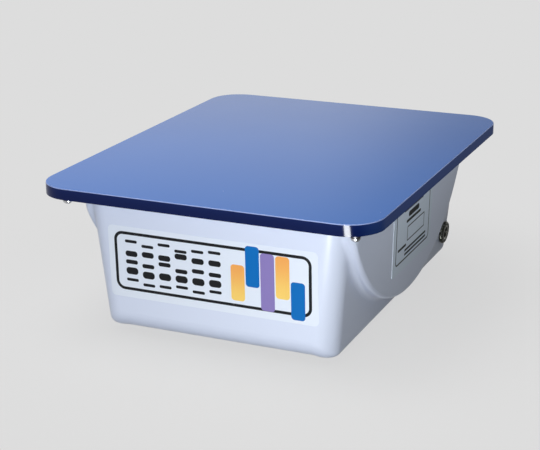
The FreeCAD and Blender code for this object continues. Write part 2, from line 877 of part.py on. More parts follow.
def lamp_clips():
    """A spring clip near the far end of each lamp, open at the top, round both tubes."""
    clips = []
    z = lamp_axis()
    inner = lamp_tube_diameter / 2 + running_clearance
    outer = inner + clip_sheet
    y0 = clip_place - clip_width / 2
    y1 = clip_place + clip_width / 2
    for x in lamp_places():
        reach = lamp_tube_pitch / 2 + outer
        clip = block(x - reach, x + reach, y0, y1, tray_top(), clip_foot_top())
        for side in (-1, 1):
            cx = x + side * lamp_tube_pitch / 2
            ring = rod(2 * outer, Vector(cx, y0, z), Vector(cx, y1, z))
            stem_x = cx + side * (outer - clip_sheet)
            stem = block(min(stem_x, stem_x + side * clip_sheet), max(stem_x, stem_x + side * clip_sheet),
                         y0, y1, tray_top(), z)
            clip = clip.fuse(ring).fuse(stem)
        for side in (-1, 1):
            cx = x + side * lamp_tube_pitch / 2
            clip = clip.cut(rod(2 * inner, Vector(cx, y0 - cut_overrun, z), Vector(cx, y1 + cut_overrun, z)))
        clip = clip.cut(block(x - reach, x + reach, y0, y1, z + clip_jaw_rise, z + outer))
        width = board_screw_diameter + through_hole_clearance
        clip = clip.cut(upright(width, x, clip_place, tray_floor_height, clip_foot_top() + cut_overrun))
        clips.append(clip.removeSplitter())
    return group(clips)


def clip_screws():
    """One screw through the foot of each lamp clip."""
    seat = clip_foot_top()
    return group([pan_screw(board_screw_diameter, clip_screw_length, Vector(x, clip_place, seat), Z * -1)
                  for x in lamp_places()])


def board_top():
    """Height of the component side of the driver board."""
    return board_height + board_thickness


def board_back():
    """Y of the driver board's back edge."""
    return board_centre_y + board_depth / 2


def ballast_board():
    """The circuit board of the lamp driver."""
    board = rounded_slab(board_width / 2, board_depth / 2, board_corner_radius, board_height, board_top(),
                         Vector(0, board_centre_y, 0))
    width = board_screw_diameter + through_hole_clearance
    for x, y in board_screw_places():
        board = board.cut(upright(width, x, y, board_height - cut_overrun, board_top() + cut_overrun))
    return board


def board_screws():
    """Four screws that hold the board on its bosses."""
    seat = board_top()
    return group([pan_screw(board_screw_diameter, board_screw_length, Vector(x, y, seat), Z * -1)
                  for x, y in board_screw_places()])


def transformer_core():
    """Ferrite core: an outer frame with a round centre leg, standing on the board."""
    low = board_top()
    y0 = transformer_y - core_depth / 2
    y1 = transformer_y + core_depth / 2
    half = core_length / 2
    core = block(-half, half, y0, y1, low, low + core_height)
    high = low + core_height
    window = block(-half + core_leg, half - core_leg, y0, y1, low + core_leg, high - core_leg)
    core = core.cut(window)
    post = upright(core_post_diameter, 0, transformer_y, low + core_leg / 2, high - core_leg / 2)
    return core.fuse(post).removeSplitter()


def transformer_winding():
    """The wound bobbin round the core's centre leg, with an end flange above and below."""
    low = board_top() + core_leg
    high = core_height - 2 * core_leg
    bore = core_post_diameter / 2 + winding_gap
    body = bore + winding_wall
    flange = body + bobbin_flange_reach
    thick = bobbin_flange_thickness
    points = [(bore, 0), (flange, 0), (flange, thick), (body, thick), (body, high - thick),
              (flange, high - thick), (flange, high), (bore, high)]
    return turned(points, Vector(0, transformer_y, low))


def electrolytic_capacitors():
    """Three can capacitors near the board's input end."""
    made = []
    middle = can_groove_low + can_groove_width / 2
    top = can_groove_low + can_groove_width
    for x, shift, diameter, height in can_places:
        r = diameter / 2
        points = [(0, 0), (r, 0), (r, can_groove_low), (r - can_groove_depth, middle), (r, top),
                  (r, height - can_top_bevel), (r - can_top_bevel, height), (0, height)]
        made.append(turned(points, Vector(x, board_centre_y + shift, board_top())))
    return group(made)


def film_capacitors():
    """Two boxed film capacitors near the lamp terminals."""
    made = []
    low = board_top()
    half_x = film_width / 2
    half_y = film_length / 2
    for x in (-film_x, film_x):
        case = block(x - half_x, x + half_x, film_y - half_y, film_y + half_y, low, low + film_height)
        made.append(case.makeFillet(film_round, edges_where(case, lambda p, e: p.z > low + film_height / 4)))
    return group(made)


def heat_sink():
    """A finned aluminium bar that stands across the board."""
    low = board_top()
    half = sink_length / 2
    sink = block(-half, half, sink_y - sink_web / 2, sink_y + sink_web / 2, low, low + sink_height)
    pitch = (sink_length - sink_web) / (sink_fins - 1)
    for index in range(sink_fins):
        x = -half + index * pitch
        y0 = sink_y - sink_web / 2 - sink_fin_depth
        sink = sink.fuse(block(x, x + sink_web, y0, sink_y, low, low + sink_height))
    return sink.removeSplitter()


def power_transistors():
    """Two flat-tab transistors on the plain face of the heat sink."""
    made = []
    low = board_top()
    foot = low + transistor_leg_height
    face = sink_y + sink_web / 2
    front = face + transistor_tab_thickness
    half = transistor_width / 2
    leg_y = front + transistor_leg_depth
    for x in (-transistor_spacing / 2, transistor_spacing / 2):
        tab = block(x - half, x + half, face, front, foot, foot + transistor_tab_height)
        hole = Vector(x, face - cut_overrun, foot + transistor_hole_height)
        tab = tab.cut(rod(transistor_hole, hole, hole + Y * (transistor_tab_thickness + 2 * cut_overrun)))
        back = front + transistor_case_depth
        transistor = tab.fuse(block(x - half, x + half, front, back, foot, foot + transistor_case_height))
        for shift in (-transistor_leg_pitch, 0, transistor_leg_pitch):
            x0 = x + shift - transistor_leg_width / 2
            leg = block(x0, x0 + transistor_leg_width, leg_y, leg_y + transistor_leg_depth, low, foot)
            transistor = transistor.fuse(leg)
        made.append(transistor.removeSplitter())
    return group(made)


def terminal_block(x, poles):
    """A terminal block with a wire entry in its back face and a screw well above each pole."""
    half = poles * terminal_pitch / 2 + terminal_end_wall
    y1 = board_back()
    y0 = y1 - terminal_depth
    low = board_top()
    shape = block(x - half, x + half, y0, y1, low, low + terminal_height)
    high = low + terminal_height
    top_edges = edges_where(shape, lambda p, e: abs(p.z - high) < 0.01 and abs(p.x - x) < 0.1)
    shape = shape.makeChamfer(terminal_bevel, top_edges)
    for index in range(poles):
        cx = x + terminal_pitch * (index - (poles - 1) / 2)
        well = upright(terminal_well, cx, (y0 + y1) / 2, high - terminal_well_depth, high + cut_overrun)
        shape = shape.cut(well)
    return shape


def input_terminals():
    """Two-pole block for the supply."""
    return terminal_block(0, 2)


def output_terminals():
    """A two-pole block for each lamp cable."""
    return group([terminal_block(x, 2) for x in output_places()])


def output_places():
    """X places of the two lamp terminal blocks, right one first."""
    return [output_spacing / 2, -output_spacing / 2]


def terminal_wire_z():
    """Height at which wires meet the terminal blocks."""
    return board_top() + terminal_wire_height


def fuse_tube():
    """The glass fuse with its two metal caps."""
    z = board_top() + fuse_above_board
    start = Vector(fuse_x - fuse_length / 2, fuse_y, z)
    end = Vector(fuse_x + fuse_length / 2, fuse_y, z)
    glass = rod(fuse_glass_diameter, start, end)
    left = rod(fuse_diameter, start, start + X * fuse_cap_length)
    right = rod(fuse_diameter, end - X * fuse_cap_length, end)
    return glass.fuse([left, right]).removeSplitter()


def fuse_clips():
    """Two spring clips that hold the fuse by its caps."""
    clips = []
    z = board_top() + fuse_above_board
    inner = fuse_diameter / 2 + running_clearance
    outer = inner + fuse_clip_sheet
    half_stem = fuse_clip_stem / 2
    half_mouth = fuse_clip_mouth / 2
    for side in (-1, 1):
        middle = fuse_x + side * (fuse_length - fuse_cap_length) / 2
        x0 = middle - fuse_clip_width / 2
        x1 = middle + fuse_clip_width / 2
        clip = rod(2 * outer, Vector(x0, fuse_y, z), Vector(x1, fuse_y, z))
        clip = clip.fuse(block(x0, x1, fuse_y - half_stem, fuse_y + half_stem, board_top(), z - inner))
        bore = Vector(x0 - cut_overrun, fuse_y, z)
        clip = clip.cut(rod(2 * inner, bore, bore + X * (fuse_clip_width + 2 * cut_overrun)))
        clip = clip.cut(block(x0, x1, fuse_y - half_mouth, fuse_y + half_mouth, z, z + 2 * outer))
        clips.append(clip.removeSplitter())
    return group(clips)


def inlet_barrel():
    """The threaded inlet barrel: flange inside the wall, bore open to the outside."""
    place, facing = inlet_frame()
    r = inlet_barrel_diameter / 2
    flange = inlet_flange_diameter / 2
    bore = inlet_bore / 2
    back = -tub_wall_along_inlet() - inlet_flange_thickness
    tail = -inlet_barrel_tail - tub_wall_along_inlet()
    points = [(bore, tail), (r, tail), (r, back), (flange, back), (flange, back + inlet_flange_thickness),
              (r, back + inlet_flange_thickness), (r, inlet_ring_height - inlet_barrel_bevel),
              (r - inlet_barrel_bevel, inlet_ring_height), (bore + inlet_barrel_bevel, inlet_ring_height),
              (bore, inlet_ring_height - inlet_barrel_bevel)]
    return turned(points, place, facing)


def tub_wall_along_inlet():
    """Thickness of the drafted side wall measured along the inlet's axis."""
    return tub_wall * math.cos(math.radians(side_draft))


def inlet_ring():
    """The knurled ring nut that clamps the inlet to the wall."""
    place, facing = inlet_frame()
    outer = inlet_ring_diameter / 2
    points = []
    for index in range(2 * inlet_knurls):
        radius = outer if index % 2 == 0 else outer - inlet_knurl_depth
        turn = math.pi * index / inlet_knurls
        points.append(Vector(radius * math.cos(turn), radius * math.sin(turn), 0))
    outline = Part.makePolygon(points + points[:1])
    ring = Part.Face(outline).extrude(Z * inlet_ring_height)
    bevel = inlet_ring_bevel
    cone_points = [(0, 0), (outer - bevel, 0), (outer, bevel), (outer, inlet_ring_height - bevel),
                   (outer - bevel, inlet_ring_height), (0, inlet_ring_height)]
    ring = ring.common(turned(cone_points))
    width = inlet_barrel_diameter + 2 * running_clearance
    ring = ring.cut(rod(width, Z * -cut_overrun, Z * (inlet_ring_height + cut_overrun)))
    ring.Placement = FreeCAD.Placement(place, FreeCAD.Rotation(Z, facing))
    return ring


def inlet_plug():
    """The insulating disc that closes the barrel's back and carries the centre pin."""
    place, facing = inlet_frame()
    tail = -inlet_barrel_tail - tub_wall_along_inlet()
    start = place + facing * tail
    end = start + facing * inlet_plug_thickness
    return tube(inlet_bore - 2 * running_clearance, inlet_pin_diameter + 2 * running_clearance, start, end)


def inlet_pin():
    """The round centre pin, which stands out behind the disc for its wire."""
    place, facing = inlet_frame()
    tail = -inlet_barrel_tail - tub_wall_along_inlet()
    start = place + facing * (tail - inlet_pin_tail)
    end = place + facing * (inlet_ring_height - inlet_pin_setback)
    return rod(inlet_pin_diameter, start, end)


def inlet_nut_seat():
    """Distance behind the outer wall face, along the inlet's axis, where its inner nut starts."""
    return tub_wall_along_inlet() + inlet_flange_thickness + inlet_tab_thickness


def inlet_tab():
    """The solder tab of the barrel: a ring under the nut with one ear bent back."""
    place, facing = inlet_frame()
    bore = inlet_barrel_diameter + through_hole_clearance
    half = inlet_tab_width / 2
    seat = inlet_nut_seat()
    ear_y = -inlet_nut_across_flats / 2 - inlet_tab_offset
    ear = block(-half, half, ear_y, ear_y + inlet_tab_thickness, -seat - inlet_tab_length, -seat)
    inside = (bore + inlet_flange_diameter) / 4
    foot = block(-half, half, ear_y, -inside, -seat, -seat + inlet_tab_thickness)
    ring = tube(inlet_flange_diameter, bore, Z * -seat, Z * (inlet_tab_thickness - seat))
    tab = ring.fuse([foot, ear]).removeSplitter()
    tab.Placement = FreeCAD.Placement(place, FreeCAD.Rotation(Z, facing))
    return tab


def inlet_nut():
    """The hexagon nut that clamps the solder tab on the barrel."""
    place, facing = inlet_frame()
    corner = inlet_nut_across_flats / math.sqrt(3)
    turns = [math.pi * index / 3 for index in range(7)]
    points = [Vector(corner * math.cos(turn), corner * math.sin(turn), 0) for turn in turns]
    nut = Part.Face(Part.makePolygon(points)).extrude(Z * inlet_nut_thickness)
    width = inlet_barrel_diameter + 2 * running_clearance
    nut = nut.cut(rod(width, Z * -cut_overrun, Z * (inlet_nut_thickness + cut_overrun)))
    nut.translate(Z * -(inlet_nut_seat() + inlet_nut_thickness))
    nut.Placement = FreeCAD.Placement(place, FreeCAD.Rotation(Z, facing)).multiply(nut.Placement)
    return nut


def switch_frame():
    """The switch housing: bezel outside the back wall, snap body inside it."""
    half_bw = switch_bezel_width / 2
    half_bh = switch_bezel_height / 2
    half_w = switch_body_width / 2
    half_h = switch_body_height / 2
    thick = switch_bezel_thickness
    bezel = block(-half_bw, half_bw, -half_bh, half_bh, 0, thick)
    corners = edges_where(bezel, lambda p, e: abs(p.z - thick / 2) < 0.1)
    bezel = bezel.makeFillet(switch_corner_round, corners)
    rims = edges_where(bezel, lambda p, e: abs(p.z - thick) < 0.01)
    bezel = bezel.makeFillet(switch_edge_round, rims)
    body = block(-half_w, half_w, -half_h, half_h, -switch_body_depth, thick / 2)
    frame = bezel.fuse(body)
    half_ww = switch_window_width / 2
    half_wh = switch_window_height / 2
    floor = switch_base_thickness - switch_body_depth
    frame = frame.cut(block(-half_ww, half_ww, -half_wh, half_wh, floor, thick + cut_overrun))
    reach = half_w - switch_pivot_wall
    depth = switch_pivot_depth()
    width = switch_pivot_diameter + 2 * running_clearance
    frame = frame.cut(rod(width, Vector(-reach, 0, depth), Vector(reach, 0, depth))).removeSplitter()
    frame.Placement = switch_placement()
    return frame


def switch_pivot_depth():
    """Local height of the rocker's pivot, a little under the outer face of the wall."""
    return -switch_pivot_sink


def rocker_profile():
    """Side outline of the rocker about its pivot: a shallow V on top, ends curved about the pivot."""
    reach = switch_window_height / 2 - switch_rocker_gap
    rise = math.tan(math.radians(switch_travel / 2))
    crown = switch_bezel_thickness + switch_pivot_sink + switch_rocker_crown
    a = 1 + rise * rise
    b = 2 * crown * rise
    c = crown * crown - reach * reach
    y = (-b + math.sqrt(b * b - 4 * a * c)) / (2 * a)
    z = crown + rise * y
    low = math.radians(-switch_rocker_skirt)
    edges = []
    for side in (1, -1):
        top = Vector(0, side * y, z)
        bottom = Vector(0, side * reach * math.cos(low), reach * math.sin(low))
        edges.append(Part.makeLine(Vector(0, 0, crown), top))
        edges.append(Part.Arc(top, Vector(0, side * reach, 0), bottom).toShape())
    corners = [Vector(0, side * reach * math.cos(low), reach * math.sin(low)) for side in (1, -1)]
    edges.append(Part.makeLine(corners[0], corners[1]))
    return Part.Wire(Part.__sortEdges__(edges))


def switch_rocker():
    """The rocker at rest in its off position: a two-faced key on a pivot pin."""
    half = switch_window_width / 2 - switch_rocker_gap
    key = Part.Face(rocker_profile()).extrude(X * (2 * half))
    key.translate(X * -half)
    reach = switch_body_width / 2 - switch_pivot_wall - switch_pivot_end_gap
    key = key.fuse(rod(switch_pivot_diameter, X * -reach, X * reach)).removeSplitter()
    key.rotate(MIDDLE, X, switch_travel / 2)
    key.translate(Vector(0, 0, switch_pivot_depth()))
    key.Placement = switch_placement().multiply(key.Placement)
    return key


def switch_tabs():
    """Two flat terminals on the back of the switch."""
    tabs = []
    half = switch_tab_width / 2
    thin = switch_tab_thickness / 2
    back = -switch_body_depth
    for height in (-switch_tab_spacing / 2, switch_tab_spacing / 2):
        tab = block(-half, half, height - thin, height + thin, back - switch_tab_length, back)
        hole = Vector(0, height - cut_overrun, back - switch_tab_length + 2 * thin + switch_tab_hole / 2)
        tab = tab.cut(rod(switch_tab_hole, hole, hole + Y * (2 * cut_overrun)))
        tab.Placement = switch_placement()
        tabs.append(tab)
    return group(tabs)


def wire_path(points):
    """Straight runs joined by tangent arcs, each arc as wide as its two runs allow."""
    edges = []
    start = points[0]
    for index in range(1, len(points) - 1):
        corner = points[index]
        back = (points[index - 1] - corner)
        ahead = (points[index + 1] - corner)
        reach = 0.45 * min(back.Length, ahead.Length)
        back.normalize()
        ahead.normalize()
        first = corner + back * reach
        last = corner + ahead * reach
        turn = math.pi - back.getAngle(ahead)
        radius = reach / math.tan(turn / 2)
        bisector = (back + ahead)
        bisector.normalize()
        middle = corner + bisector * (math.hypot(radius, reach) - radius)
        edges.append(Part.makeLine(start, first))
        edges.append(Part.Arc(first, middle, last).toShape())
        start = last
    edges.append(Part.makeLine(start, points[-1]))
    return Part.Wire(edges)


def wire_along(points, diameter):
    """An insulated wire that follows a route of points."""
    path = wire_path(points)
    direction = points[1] - points[0]
    section = Part.Wire([Part.makeCircle(diameter / 2, points[0], direction)])
    return path.makePipeShell([section], True, False)


def tab_point(side, level):
    """Middle of a switch tab's edge: side is -1 for the +X edge, level is 1 for the upper tab."""
    across = side * switch_tab_width / 2
    depth = -switch_body_depth - switch_tab_length / 2
    return switch_placement().multVec(Vector(across, level * switch_tab_spacing / 2, depth))


def behind_board(x, behind, above):
    """A point behind the board's back edge, at a height above the wire entries."""
    return Vector(x, board_back() + behind, terminal_wire_z() + above)


def pole_point(x, pole):
    """Middle of a wire entry in the back of a terminal block: pole is -1 for left, 1 for right."""
    return Vector(x + pole * terminal_pitch / 2, board_back(), terminal_wire_z())


def supply_wire():
    """From the inlet's centre pin to the upper tab of the switch."""
    place, facing = inlet_frame()
    start = place - facing * (inlet_barrel_tail + tub_wall_along_inlet() + inlet_pin_tail)
    end = tab_point(-1, 1)
    turns = [behind_board(*turn) for turn in supply_turns]
    route = [start, start - facing * supply_ends[0]] + turns + [end + X * supply_ends[1], end]
    return wire_along(route, wire_diameter)


def return_wire():
    """From the inlet's solder tab to the right pole of the supply terminals."""
    place, facing = inlet_frame()
    ear_middle = inlet_nut_across_flats / 2 + inlet_tab_offset - inlet_tab_thickness / 2
    start = place - facing * (inlet_nut_seat() + inlet_tab_length) - Y * ear_middle
    end = pole_point(0, 1)
    turns = [behind_board(*turn) for turn in return_turns]
    route = [start, start - facing * return_ends[0]] + turns + [end + Y * return_ends[1], end]
    return wire_along(route, wire_diameter)


def switched_wire():
    """From the lower tab of the switch to the left pole of the supply terminals."""
    start = tab_point(1, -1)
    end = pole_point(0, -1)
    turns = [behind_board(*turn) for turn in switched_turns]
    route = [start, start - X * switched_ends[0]] + turns + [end + Y * switched_ends[1], end]
    return wire_along(route, wire_diameter)


def lamp_cable(side):
    """From a pair of lamp terminals up through the tray into the socket: side is 1 on the right."""
    x = side * output_places()[0]
    socket_x, socket_y = cable_places()[0]
    start = Vector(x, board_back(), terminal_wire_z())
    end = Vector(side * socket_x, socket_y, tray_top())
    outwards, behind, above = lamp_cable_turn
    turn = behind_board(x + side * outwards, behind, above)
    route = [start, start + Y * lamp_cable_ends[0], turn, end - Z * lamp_cable_ends[1], end]
    return wire_along(route, lamp_cable_diameter)


def label_on_wall(half_width, half_height, corner, centre, across):
    """A thin sticker with round corners that follows the tub's wall: across is its level direction."""
    reach = 2 * tub_wall
    outline = rounded_slab(half_width, half_height, corner, -reach, reach)
    outline.Placement = FreeCAD.Placement(centre, FreeCAD.Rotation(across, Z, across.cross(Z), "XYZ"))
    return outline.common(tub_form(-label_thickness, False)).cut(tub_form(0, False))


def front_label():
    """The wide sticker on the front wall."""
    z = rim_top - front_label_drop - front_label_height / 2
    centre = Vector(0, TUB_MIDDLE.y - body_half_depth(z), z)
    half_width = body_half_width(rim_top) - tub_top_corner_radius - front_label_end_gap
    return label_on_wall(half_width, front_label_height / 2, front_label_corner, centre, X)


def side_label():
    """The sticker on the flat of the right pod, its top edge up under the plate."""
    z = rim_top - side_label_drop - side_label_height / 2
    centre = Vector(pod_half_width(z), side_label_shift, z)
    return label_on_wall(side_label_width / 2, side_label_height / 2, side_label_corner, centre, Y)


def main():
    os.makedirs("parts", exist_ok=True)
    nodes = {
        "housing_tub": housing_tub(),
        "filter_plate": filter_plate(),
        "plate_gasket": plate_gasket(),
        "plate_screws": plate_screws(),
        "plate_washers": plate_washers(),
        "feet": feet(),
        "foot_screws": foot_screws(),
        "reflector_tray": reflector_tray(),
        "reflector_screws": reflector_screws(),
        "diffuser_sheet": diffuser_sheet(),
        "lamp_pins": lamp_pins(),
        "socket_screws": socket_screws(),
        "lamp_clips": lamp_clips(),
        "clip_screws": clip_screws(),
        "ballast_board": ballast_board(),
        "board_screws": board_screws(),
        "transformer_core": transformer_core(),
        "transformer_winding": transformer_winding(),
        "electrolytic_capacitors": electrolytic_capacitors(),
        "film_capacitors": film_capacitors(),
        "heat_sink": heat_sink(),
        "power_transistors": power_transistors(),
        "input_terminals": input_terminals(),
        "output_terminals": output_terminals(),
        "fuse_tube": fuse_tube(),
        "fuse_clips": fuse_clips(),
        "inlet_barrel": inlet_barrel(),
        "inlet_ring": inlet_ring(),
        "inlet_plug": inlet_plug(),
        "inlet_pin": inlet_pin(),
        "inlet_tab": inlet_tab(),
        "inlet_nut": inlet_nut(),
        "switch_frame": switch_frame(),
        "switch_rocker": switch_rocker(),
        "switch_tabs": switch_tabs(),
        "supply_wire": supply_wire(),
        "return_wire": return_wire(),
        "switched_wire": switched_wire(),
        "front_label": front_label(),
        "side_label": side_label(),
    }
    for number, x in enumerate(lamp_places(), 1):
        nodes["lamp_%d_tube" % number] = lamp_tube(x)
        nodes["lamp_%d_cap" % number] = lamp_cap(x)
        nodes["lamp_socket_%d" % number] = lamp_socket(x)
        nodes["lamp_cable_%d" % number] = lamp_cable(math.copysign(1, x))
    for name, shape in nodes.items():
        valid = shape.isValid() and all(s.isClosed() for s in shape.Shells)
        print(name, len(shape.Solids), "solids", "ok" if valid else "BAD", round(shape.Volume, 1))
        shape.exportStep("parts/" + name + ".step")


main()
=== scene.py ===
import bmesh
import bpy
import json
import math

from mathutils import Euler, Matrix, Vector

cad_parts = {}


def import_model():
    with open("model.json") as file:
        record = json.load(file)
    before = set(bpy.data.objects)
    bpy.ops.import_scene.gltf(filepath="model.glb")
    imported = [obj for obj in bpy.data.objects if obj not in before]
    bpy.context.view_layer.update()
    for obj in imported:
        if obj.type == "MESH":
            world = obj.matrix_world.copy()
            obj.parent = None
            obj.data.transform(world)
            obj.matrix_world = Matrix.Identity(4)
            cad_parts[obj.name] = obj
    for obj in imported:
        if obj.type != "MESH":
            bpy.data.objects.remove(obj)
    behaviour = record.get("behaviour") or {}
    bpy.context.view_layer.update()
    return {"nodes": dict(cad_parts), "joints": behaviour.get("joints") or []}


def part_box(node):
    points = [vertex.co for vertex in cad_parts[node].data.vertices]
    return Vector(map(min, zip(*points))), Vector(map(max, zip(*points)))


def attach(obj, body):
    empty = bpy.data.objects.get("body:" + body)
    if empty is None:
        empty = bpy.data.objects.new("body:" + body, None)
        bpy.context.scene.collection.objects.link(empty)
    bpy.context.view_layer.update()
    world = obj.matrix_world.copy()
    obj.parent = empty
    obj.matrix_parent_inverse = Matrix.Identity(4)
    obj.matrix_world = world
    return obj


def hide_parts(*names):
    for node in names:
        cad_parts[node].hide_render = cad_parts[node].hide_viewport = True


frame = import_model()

# The camera stands at the front, to the right of the middle and a little above the plate.
# It looks slightly down, so the plate's top, the front wall and the right wall all show.
camera_azimuth = 24.083
camera_elevation = 18.391
camera_roll = -0.539
camera_data = bpy.data.cameras.new("camera")
camera_data.sensor_fit = 'HORIZONTAL'
camera_data.sensor_width = 36.0
camera_data.lens = 92.207
camera = bpy.data.objects.new("camera", camera_data)
bpy.context.scene.collection.objects.link(camera)
camera.location = (0.364342, -0.842037, 0.35476)
aim = Euler((math.radians(90 - camera_elevation), 0, math.radians(camera_azimuth))).to_matrix()
camera.rotation_euler = (aim @ Matrix.Rotation(math.radians(camera_roll), 3, 'Z')).to_euler()
bpy.context.scene.camera = camera
bpy.context.scene.view_settings.view_transform = 'Standard'


# Tub: one injection moulding in glossy white plastic, faintly blue, 2.8 mm thick.
# It carries the plate on its rim, the lamps on four tall posts and the driver on four short ones.
def feed(tree, socket, value):
    """Link an output to a socket, or set the socket's own value."""
    if isinstance(value, bpy.types.NodeSocket):
        tree.links.new(value, socket)
    else:
        socket.default_value = value


def node(tree, kind, inputs=(), **settings):
    """Add a shader node with its settings and inputs."""
    made = tree.nodes.new("ShaderNode" + kind)
    for name, value in settings.items():
        setattr(made, name, value)
    for name, value in dict(inputs).items():
        feed(tree, made.inputs[name], value)
    return made


def sums(tree, operation, *values):
    """One step of arithmetic."""
    made = tree.nodes.new("ShaderNodeMath")
    made.operation = operation
    for socket, value in zip(made.inputs, values):
        feed(tree, socket, value)
    return made.outputs[0]


def ramp(tree, value, start, end, low=0.0, high=1.0):
    """Goes smoothly from low at start to high at end, and stays there."""
    made = node(tree, "MapRange", interpolation_type='SMOOTHSTEP')
    for socket, number in zip(made.inputs, (value, start, end, low, high)):
        feed(tree, socket, number)
    return made.outputs[0]


def past(tree, value, limit, soft):
    """A mask that turns from 0 to 1 where a value passes a limit."""
    return ramp(tree, value, limit - soft, limit + soft)


def before(tree, value, limit, soft):
    """A mask that turns from 1 to 0 where a value passes a limit."""
    return ramp(tree, value, limit - soft, limit + soft, 1.0, 0.0)


def between(tree, value, low, high, soft):
    """A mask that is 1 where a value lies between two limits."""
    return sums(tree, 'MULTIPLY', past(tree, value, low, soft), before(tree, value, high, soft))


def paint(tree, under, over, mask):
    """Lay one colour over another where a mask says."""
    made = node(tree, "Mix", data_type='RGBA')
    feed(tree, made.inputs[0], mask)
    feed(tree, made.inputs[6], under)
    feed(tree, made.inputs[7], over)
    return made.outputs[2]


def place_on(tree):
    """X, Y and Z of a point of the piece, in metres."""
    where = node(tree, "TexCoord")
    split = node(tree, "SeparateXYZ", {0: where.outputs["Object"]})
    return split.outputs


def facing_on(tree):
    """X, Y and Z of the way a point of the piece faces."""
    where = node(tree, "TexCoord")
    split = node(tree, "SeparateXYZ", {0: where.outputs["Normal"]})
    return split.outputs


def shared_effect(name, inputs, outputs):
    """A shader node group with named number and colour sockets."""
    tree = bpy.data.node_groups.new(name, 'ShaderNodeTree')
    for word, kind, value in inputs:
        socket = tree.interface.new_socket(word, in_out='INPUT', socket_type='NodeSocket' + kind)
        socket.default_value = value
    for word, kind in outputs:
        tree.interface.new_socket(word, in_out='OUTPUT', socket_type='NodeSocket' + kind)
    return tree, tree.nodes.new("NodeGroupInput").outputs, tree.nodes.new("NodeGroupOutput").inputs


def make_mottle():
    """Slow patches in colour and gloss, and a fine grain for relief, as every real surface has."""
    tree, given, out = shared_effect(
        "mottle",
        [("Colour", "Color", (0.8, 0.8, 0.8, 1)), ("Tint", "Float", 0.03), ("Patches", "Float", 30.0),
         ("Roughness", "Float", 0.4), ("Spread", "Float", 0.05), ("Grain", "Float", 900.0)],
        [("Colour", "Color"), ("Roughness", "Float"), ("Height", "Float")])
    where = node(tree, "TexCoord").outputs["Object"]
    gloss_over_tint = 7.3
    gloss_scale = sums(tree, 'MULTIPLY', given["Patches"], gloss_over_tint)
    slow = node(tree, "TexNoise", {"Vector": where, "Scale": given["Patches"], "Detail": 3.0})
    mid = node(tree, "TexNoise", {"Vector": where, "Scale": gloss_scale, "Detail": 4.0})
    fine = node(tree, "TexNoise", {"Vector": where, "Scale": given["Grain"], "Detail": 2.0})
    swing = sums(tree, 'SUBTRACT', slow.outputs[0], 0.5)
    lightness = sums(tree, 'ADD', sums(tree, 'MULTIPLY', swing, given["Tint"]), 1.0)
    shade = node(tree, "HueSaturation", {"Value": lightness, "Color": given["Colour"]})
    feed(tree, out["Colour"], shade.outputs[0])
    wander = sums(tree, 'MULTIPLY', sums(tree, 'SUBTRACT', mid.outputs[0], 0.5), given["Spread"])
    feed(tree, out["Roughness"], sums(tree, 'ADD', given["Roughness"], wander))
    feed(tree, out["Height"], fine.outputs[0])
    return tree


mottle = make_mottle()


def start_finish(name):
    """A new material, its node tree and its shader."""
    material = bpy.data.materials.new(name)
    material.use_nodes = True
    tree = material.node_tree
    return material, tree, tree.nodes["Principled BSDF"]


def finish_surface(tree, shader, colour, roughness, tint=0.06, patches=25.0, spread=0.08, grain=900.0,
                   relief=0.00002, **shader_values):
    """Set a shader's colour, roughness and relief from the mottle, and its other sockets plainly."""
    made = node(tree, "Group", node_tree=mottle)
    worn = {"Colour": colour, "Tint": tint, "Patches": patches, "Roughness": roughness,
            "Spread": spread, "Grain": grain}
    for word, value in worn.items():
        feed(tree, made.inputs[word], value)
    feed(tree, shader.inputs["Base Color"], made.outputs["Colour"])
    feed(tree, shader.inputs["Roughness"], made.outputs["Roughness"])
    bump = node(tree, "Bump", {"Strength": 1.0, "Distance": relief, "Height": made.outputs["Height"]})
    feed(tree, shader.inputs["Normal"], bump.outputs[0])
    for word, value in shader_values.items():
        feed(tree, shader.inputs[word.replace("_", " ")], value)


def plain_finish(name, colour, roughness, **details):
    """A material of one colour with the mottle's patches and grain."""
    material, tree, shader = start_finish(name)
    finish_surface(tree, shader, colour, roughness, **details)
    return material


def dress(material, *names):
    """Give CAD nodes a material in place of the plain one they came with."""
    for name in names:
        piece = frame["nodes"][name]
        piece.data.materials.clear()
        piece.data.materials.append(material)


tub_colour = (0.70, 0.76, 0.90, 1)
tub_finish = plain_finish("tub_moulding", tub_colour, 0.30, tint=0.03, patches=9.0, spread=0.06,
                          grain=2600.0, relief=0.0000015, Coat_Weight=0.3, Coat_Roughness=0.12)
dress(tub_finish, "housing_tub")

# Feet: four round feet of black rubber, each screwed to a boss inside the tub.
# Dust sits on the rubber, so it is a little paler in patches.
rubber_finish = plain_finish("foot_rubber", (0.018, 0.018, 0.02, 1), 0.72, tint=0.5, patches=180.0,
                             spread=0.15, grain=2600.0, relief=0.00006)
dress(rubber_finish, "feet")

# Screws: pan heads in zinc-plated steel, with the soft bright and dark patches that plating has.
# Four hold the plate over washers painted dark as shade under the plate, and the others hold feet,
# tray, sockets, clips and board.
zinc_finish = plain_finish("zinc_steel", (0.62, 0.63, 0.65, 1), 0.27, tint=0.18, patches=420.0,
                           spread=0.16, grain=3500.0, relief=0.000012, Metallic=1.0)
dress(zinc_finish, "foot_screws", "plate_screws", "reflector_screws", "socket_screws", "clip_screws",
      "board_screws", "lamp_clips")
# The washers' dark colour is painted shade, standing for the shadow under the plate.
shaded_washer_finish = plain_finish("washer_steel_painted_shade", (0.11, 0.11, 0.12, 1), 0.42, tint=0.3, patches=600.0,
                             spread=0.15, grain=3500.0, relief=0.00001, Metallic=1.0)
dress(shaded_washer_finish, "plate_washers")


